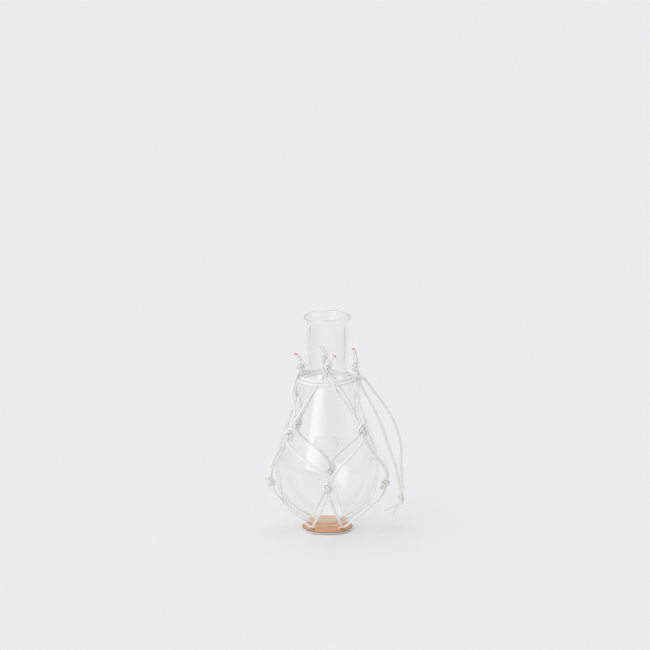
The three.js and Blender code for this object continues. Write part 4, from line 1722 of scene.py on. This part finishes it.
@dataclass
class Drawstring:
    """The drawstring: one cord with two turns round the shoulder, two hanging legs and an end knot.

    Its places are in millimetres.
    """

    shape: NetShape
    knots: NetKnots
    knot_place: Triple = (56.0, 5.2, 21.8)
    knot_lean: float = -6.0
    knot_tight: Triple = (0.82, 0.7, 0.75)
    outer_leg: Route = (
        (24.6, -4.6, 119.8),
        (28.6, -1.0, 116.0),
        (33.2, 2.8, 109.0),
        (39.6, 6.4, 99.6),
        (47.2, 6.0, 88.2),
        (52.6, 6.0, 75.8),
        (55.4, 6.0, 63.8),
        (56.0, 6.0, 49.6),
        (56.3, 6.0, 38.6),
        (56.8, 5.6, 31.6),
    )
    inner_leg: Route = (
        (26.0, -1.6, 111.0),
        (28.8, 0.4, 104.8),
        (32.8, -0.6, 98.2),
        (39.7, 0.0, 83.0),
        (46.6, 2.2, 62.6),
        (50.4, 3.4, 51.2),
        (53.5, 4.4, 39.6),
        (54.4, 4.8, 31.6),
    )
    outer_tail: Route = ((52.6, 5.4, 14.8), (51.0, 5.5, 11.4), (49.4, 5.6, 8.2))
    inner_tail: Route = ((51.2, 4.8, 17.0), (47.0, 4.2, 14.7), (42.6, 3.6, 12.4))

    def end_knot(self) -> Cords:
        """Sets the end knot, which hangs upside down, with the legs coming in at its top.

        Returns:
            Its inner and outer cords.
        """
        swing = math.radians(self.knot_lean)
        up = [math.sin(swing), 0.0, -math.cos(swing)]
        right = [math.cos(swing), 0.0, math.sin(swing)]
        axes = np.array([up, [0.0, -1.0, 0.0], [-x for x in right]])
        place = self.metres(self.knot_place)
        return self.shape.set_knot(self.knots.tied, place, axes, Hand.RIGHT, self.knot_tight)

    def metres(self, places: Triple | Route) -> Array:
        """Turns places in millimetres into an array in metres."""
        return np.array(places) * MM

    def build(self, leather: Material) -> None:
        """Makes the turns, both legs and both halves of the end knot from one unbroken line.

        Args:
            leather: The cord's material.
        """
        cord = self.shape.cord
        inner_knot, outer_knot = self.end_knot()
        turns = self.knots.collar.points()
        outer = np.vstack([self.metres(self.outer_leg), outer_knot, self.metres(self.outer_tail)])
        inner = np.vstack([self.metres(self.inner_leg), inner_knot, self.metres(self.inner_tail)])
        line = smooth_path(np.vstack([outer[::-1], turns, inner]), cord.step)
        cuts = [self.nearest(line, point) for point in (outer_knot[0], turns[0], turns[-1], inner_knot[0])]
        names = ("end_knot_outer", "leg_outer", "turns", "leg_inner", "end_knot_inner")
        bounds = [0, *cuts, len(line) - 1]
        stretches = [line[first : last + 1] for first, last in zip(bounds, bounds[1:])]
        middle = self.metres([self.knot_place])
        pieces = {}
        for name, stretch in zip(names, stretches):
            ends = CordEnds(name == names[0], name == names[-1])
            thick = self.shape.squeezed(stretch, middle)
            pieces[name] = cord.lay(f"drawstring_{name}", stretch, ends, thick)
            dress(pieces[name], leather, "white_leather", HOLDER)
        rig.replaces(pieces["turns"], "drawstring_turns")
        self.declare(pieces["leg_outer"], pieces["end_knot_outer"], stretches[1][::-1], "outer")
        self.declare(pieces["leg_inner"], pieces["end_knot_inner"], stretches[3], "inner")
        for piece in pieces.values():
            slump(piece)

    def declare(self, leg: Piece, knot: Piece, path: Array, name: str) -> None:
        """Says that a leg is a free cord that hangs from the turns and ends in the knot.

        Args:
            leg: The leg.
            knot: Its half of the end knot.
            path: Its middle line, from the turns down.
            name: Which leg it is.
        """
        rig.replaces(leg, f"drawstring_leg_{name}")
        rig.cord(
            leg,
            exit=path[0],
            length=float(lengths_along(path)[-1]),
            diameter=self.shape.cord.diameter,
            far_end="knot",
            stiffness="medium",
            lay="hanging",
            path=path,
            with_pieces=[knot],
        )

    def nearest(self, line: Array, point: Array) -> int:
        """Finds the point of a line that lies nearest to a point."""
        return int(np.argmin(np.linalg.norm(line - point, axis=1)))


@dataclass
class Studio:
    """A pale floor without a horizon, soft light and the camera.

    A pair of a mask's edge gives where the mask is empty and where it is full.
    """

    backdrop: Colour = tint(235, 235, 235)
    floor_colour: Colour = tint(234, 234, 234)
    # Painted reflection: the dark grey that glass mirrors in place of the floor off to the sides.
    painted_floor_reflection: Colour = tint(80, 80, 80)
    paper_side: Pair = (0.4, 0.52)
    floor_size: float = 12.0
    floor_height: float = -0.1 * MM
    ambient: float = 0.2
    from_front: float = 0.98
    from_above: float = 0.43
    front: Triple = (-0.78, -0.56, 0.28)
    room: float = 0.4
    room_front: Pair = (-0.85, -0.35)
    wing: float = 0.5
    wing_at: float = 0.25
    wing_width: Pair = (0.08, 0.26)
    window_strength: float = 2.8
    window_from: Triple = (-0.485, -0.875, 0.0)
    window_across: Triple = (0.875, -0.485, 0.0)
    window_left: Pair = (-0.48, -0.26)
    window_right: Pair = (0.5, -0.12)
    window_bottom: Pair = (-0.09, 0.03)
    window_top: Pair = (0.76, 0.46)
    window_behind: Pair = (0.0, 0.3)
    sun_strength: float = 0.75
    sun_softness: float = 50.0
    sun_from: Triple = (-0.05, 0.42, 1.0)
    camera_place: Triple = (-0.0018, -2.9134, 0.8741)
    camera_target: Triple = (-0.0018, 0.0, 0.1585)
    camera_lens: float = 221.54
    camera_sensor: float = 36.0

    def build(self) -> None:
        """Makes the camera, the floor, the world and the lamp."""
        self.camera()
        self.floor()
        self.world()
        self.lamp()
        bpy.context.scene.view_settings.view_transform = "Standard"

    def stand(self, data: bpy.types.ID, at: Triple, target: Triple) -> Piece:
        """Puts a camera or a lamp at a place and turns it to a target.

        Args:
            data: The camera or light.
            at: Its place.
            target: What it looks at or lights.

        Returns:
            The new object.
        """
        piece = bpy.data.objects.new(data.name, data)
        piece.location = at
        piece.rotation_euler = (Vector(target) - Vector(at)).to_track_quat("-Z", "Y").to_euler()
        bpy.context.scene.collection.objects.link(piece)
        return piece

    def camera(self) -> None:
        """Sets the camera at the photograph's height and distance."""
        data = bpy.data.cameras.new("camera")
        data.lens = self.camera_lens
        data.sensor_width = self.camera_sensor
        bpy.context.scene.camera = self.stand(data, self.camera_place, self.camera_target)

    def floor(self) -> None:
        """Lays the floor just under the base. Only in what glass mirrors does the floor off to the sides turn dark
        grey: a painted reflection.
        """
        half = self.floor_size / 2
        signs = ((-1, -1), (1, -1), (1, 1), (-1, 1))
        corners = [(half * x, half * y, self.floor_height) for x, y in signs]
        floor = new_piece("floor", corners, [(0, 1, 2, 3)])
        material, wire = new_material("floor_paper")
        paper = {"Base Color": self.floor_colour, "Roughness": 1.0, "Specular IOR Level": 0.0}
        shader = wire.add("BsdfPrincipled", paper)
        # Painted reflection: glossy rays that reach the floor off to the sides see dark grey instead of the pale paper.
        painted_reflection_shader = wire.add("BsdfDiffuse", {"Color": self.painted_floor_reflection})
        ray = wire.add("LightPath").outputs
        mirrored = wire.calc("SUBTRACT", ray["Is Glossy Ray"], ray["Is Transmission Ray"], clamp=True)
        aside = wire.calc("ABSOLUTE", wire.axes(wire.add("TexCoord").outputs["Object"])["X"])
        mixed = wire.mix(wire.product(mirrored, wire.ramp(aside, self.paper_side)), shader, painted_reflection_shader)
        wire.add("OutputMaterial", {"Surface": mixed.outputs[0]})
        floor.data.materials.append(material)
        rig.stage(floor)

    def world(self) -> None:
        """Makes the world: the backdrop's colour where it is seen, and softer light on everything else."""
        world = bpy.data.worlds.new("studio")
        world.use_nodes = True
        bpy.context.scene.world = world
        wire = Wiring(world.node_tree)
        way = wire.add("TexCoord").outputs["Generated"]
        axes = wire.axes(way)
        ray = wire.add("LightPath").outputs
        seen = wire.calc("MAXIMUM", ray["Is Camera Ray"], ray["Is Glossy Ray"])
        seen = wire.calc("MAXIMUM", seen, ray["Is Transmission Ray"])
        off = wire.calc("ABSOLUTE", wire.calc("SUBTRACT", axes["Y"], self.wing_at))
        behind = wire.product(
            wire.ramp(axes["Y"], self.room_front, (self.room, 1.0), smooth=True),
            wire.ramp(off, self.wing_width, (self.wing, 1.0), smooth=True),
        )
        panel = self.window(wire, way, axes["Z"])
        bright = wire.calc("MULTIPLY_ADD", panel, self.window_strength, behind)
        shown = wire.add("Background", {"Color": self.backdrop, "Strength": bright})
        fill = wire.calc("MAXIMUM", wire.dot(way, self.front), 0.0)
        high = wire.calc("MAXIMUM", axes["Z"], 0.0)
        lit = wire.calc("MULTIPLY_ADD", fill, self.from_front, self.ambient)
        lit = wire.calc("MULTIPLY_ADD", high, self.from_above, lit)
        light = wire.add("Background", {"Color": (1.0, 1.0, 1.0, 1.0), "Strength": lit})
        wire.add("OutputWorld", {"Surface": wire.mix(seen, light, shown).outputs[0]})

    def window(self, wire: Wiring, way: Socket, up: Socket) -> Socket:
        """Makes the mask of the soft panel at the front left that the glass reflects.

        It is the product of soft edges: to the left and right by how far a direction lies across the
        panel's own, below and above by its height, and one that keeps it from the opposite side.

        Args:
            wire: The world's wiring.
            way: The direction.
            up: The direction's upward part.

        Returns:
            The mask.
        """
        across = wire.dot(way, self.window_across)
        edges = (
            (across, self.window_left),
            (across, self.window_right),
            (up, self.window_bottom),
            (up, self.window_top),
            (wire.dot(way, self.window_from), self.window_behind),
        )
        return wire.product(*(wire.ramp(value, ends, smooth=True) for value, ends in edges))

    def lamp(self) -> None:
        """Sets a broad soft light above and a little behind."""
        sun = bpy.data.lights.new("sky_panel", "SUN")
        sun.energy = self.sun_strength
        sun.angle = math.radians(self.sun_softness)
        self.stand(sun, self.sun_from, (0.0, 0.0, 0.0))


def main() -> None:
    """Builds the studio and dresses the vase, piece by piece."""
    logging.basicConfig(level=logging.INFO, format="%(name)s: %(message)s")
    Studio().build()
    shape = FlaskShape.from_frame()
    side = GlassSide(shape)
    base = BaseShape.from_frame()
    cord = RoundCord()
    net = NetShape(side, base, cord)
    knots = NetKnots(net)

    grain = leather_grain()
    leather = CordLeather().build(grain)
    tan = DiscLeather(
        "tan_flesh_side",
        face=tint(222, 175, 142),
        shade=tint(203, 152, 118),
        # A darker brown edge: partly the cut edge's own colour, partly painted shade of the side wall.
        edge=tint(120, 72, 50),
        edge_radius=base.upper_radius,
        edge_width=0.6 * MM,
        roughness=0.9,
        grain=0.3 * MM,
        depth=0.06 * MM,
    ).build(grain)
    white = DiscLeather(
        "white_backing",
        face=tint(246, 245, 242),
        shade=tint(240, 239, 235),
        edge=tint(246, 245, 241),
        edge_radius=base.lower_radius,
        edge_width=0.3 * MM,
        roughness=0.55,
        grain=0.25 * MM,
        depth=0.03 * MM,
    ).build(grain)

    Drawstring(net, knots).build(leather)
    CordNet(net, knots).build(leather)
    LeatherBase(base, cord).build(tan, white)
    GlassFlask(shape, side).build(ClearGlass().build(), SpotEnamel().build(grain))

    boxes = {
        name: [[float(x) for x in corner] for corner in box]
        for name, box in (("cad", CAD_BOX), ("visual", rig.bounds()))
    }
    with open("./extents.json", "w", encoding="utf-8") as sizes:
        json.dump(boxes, sizes)


if __name__ == "__main__":
    main()
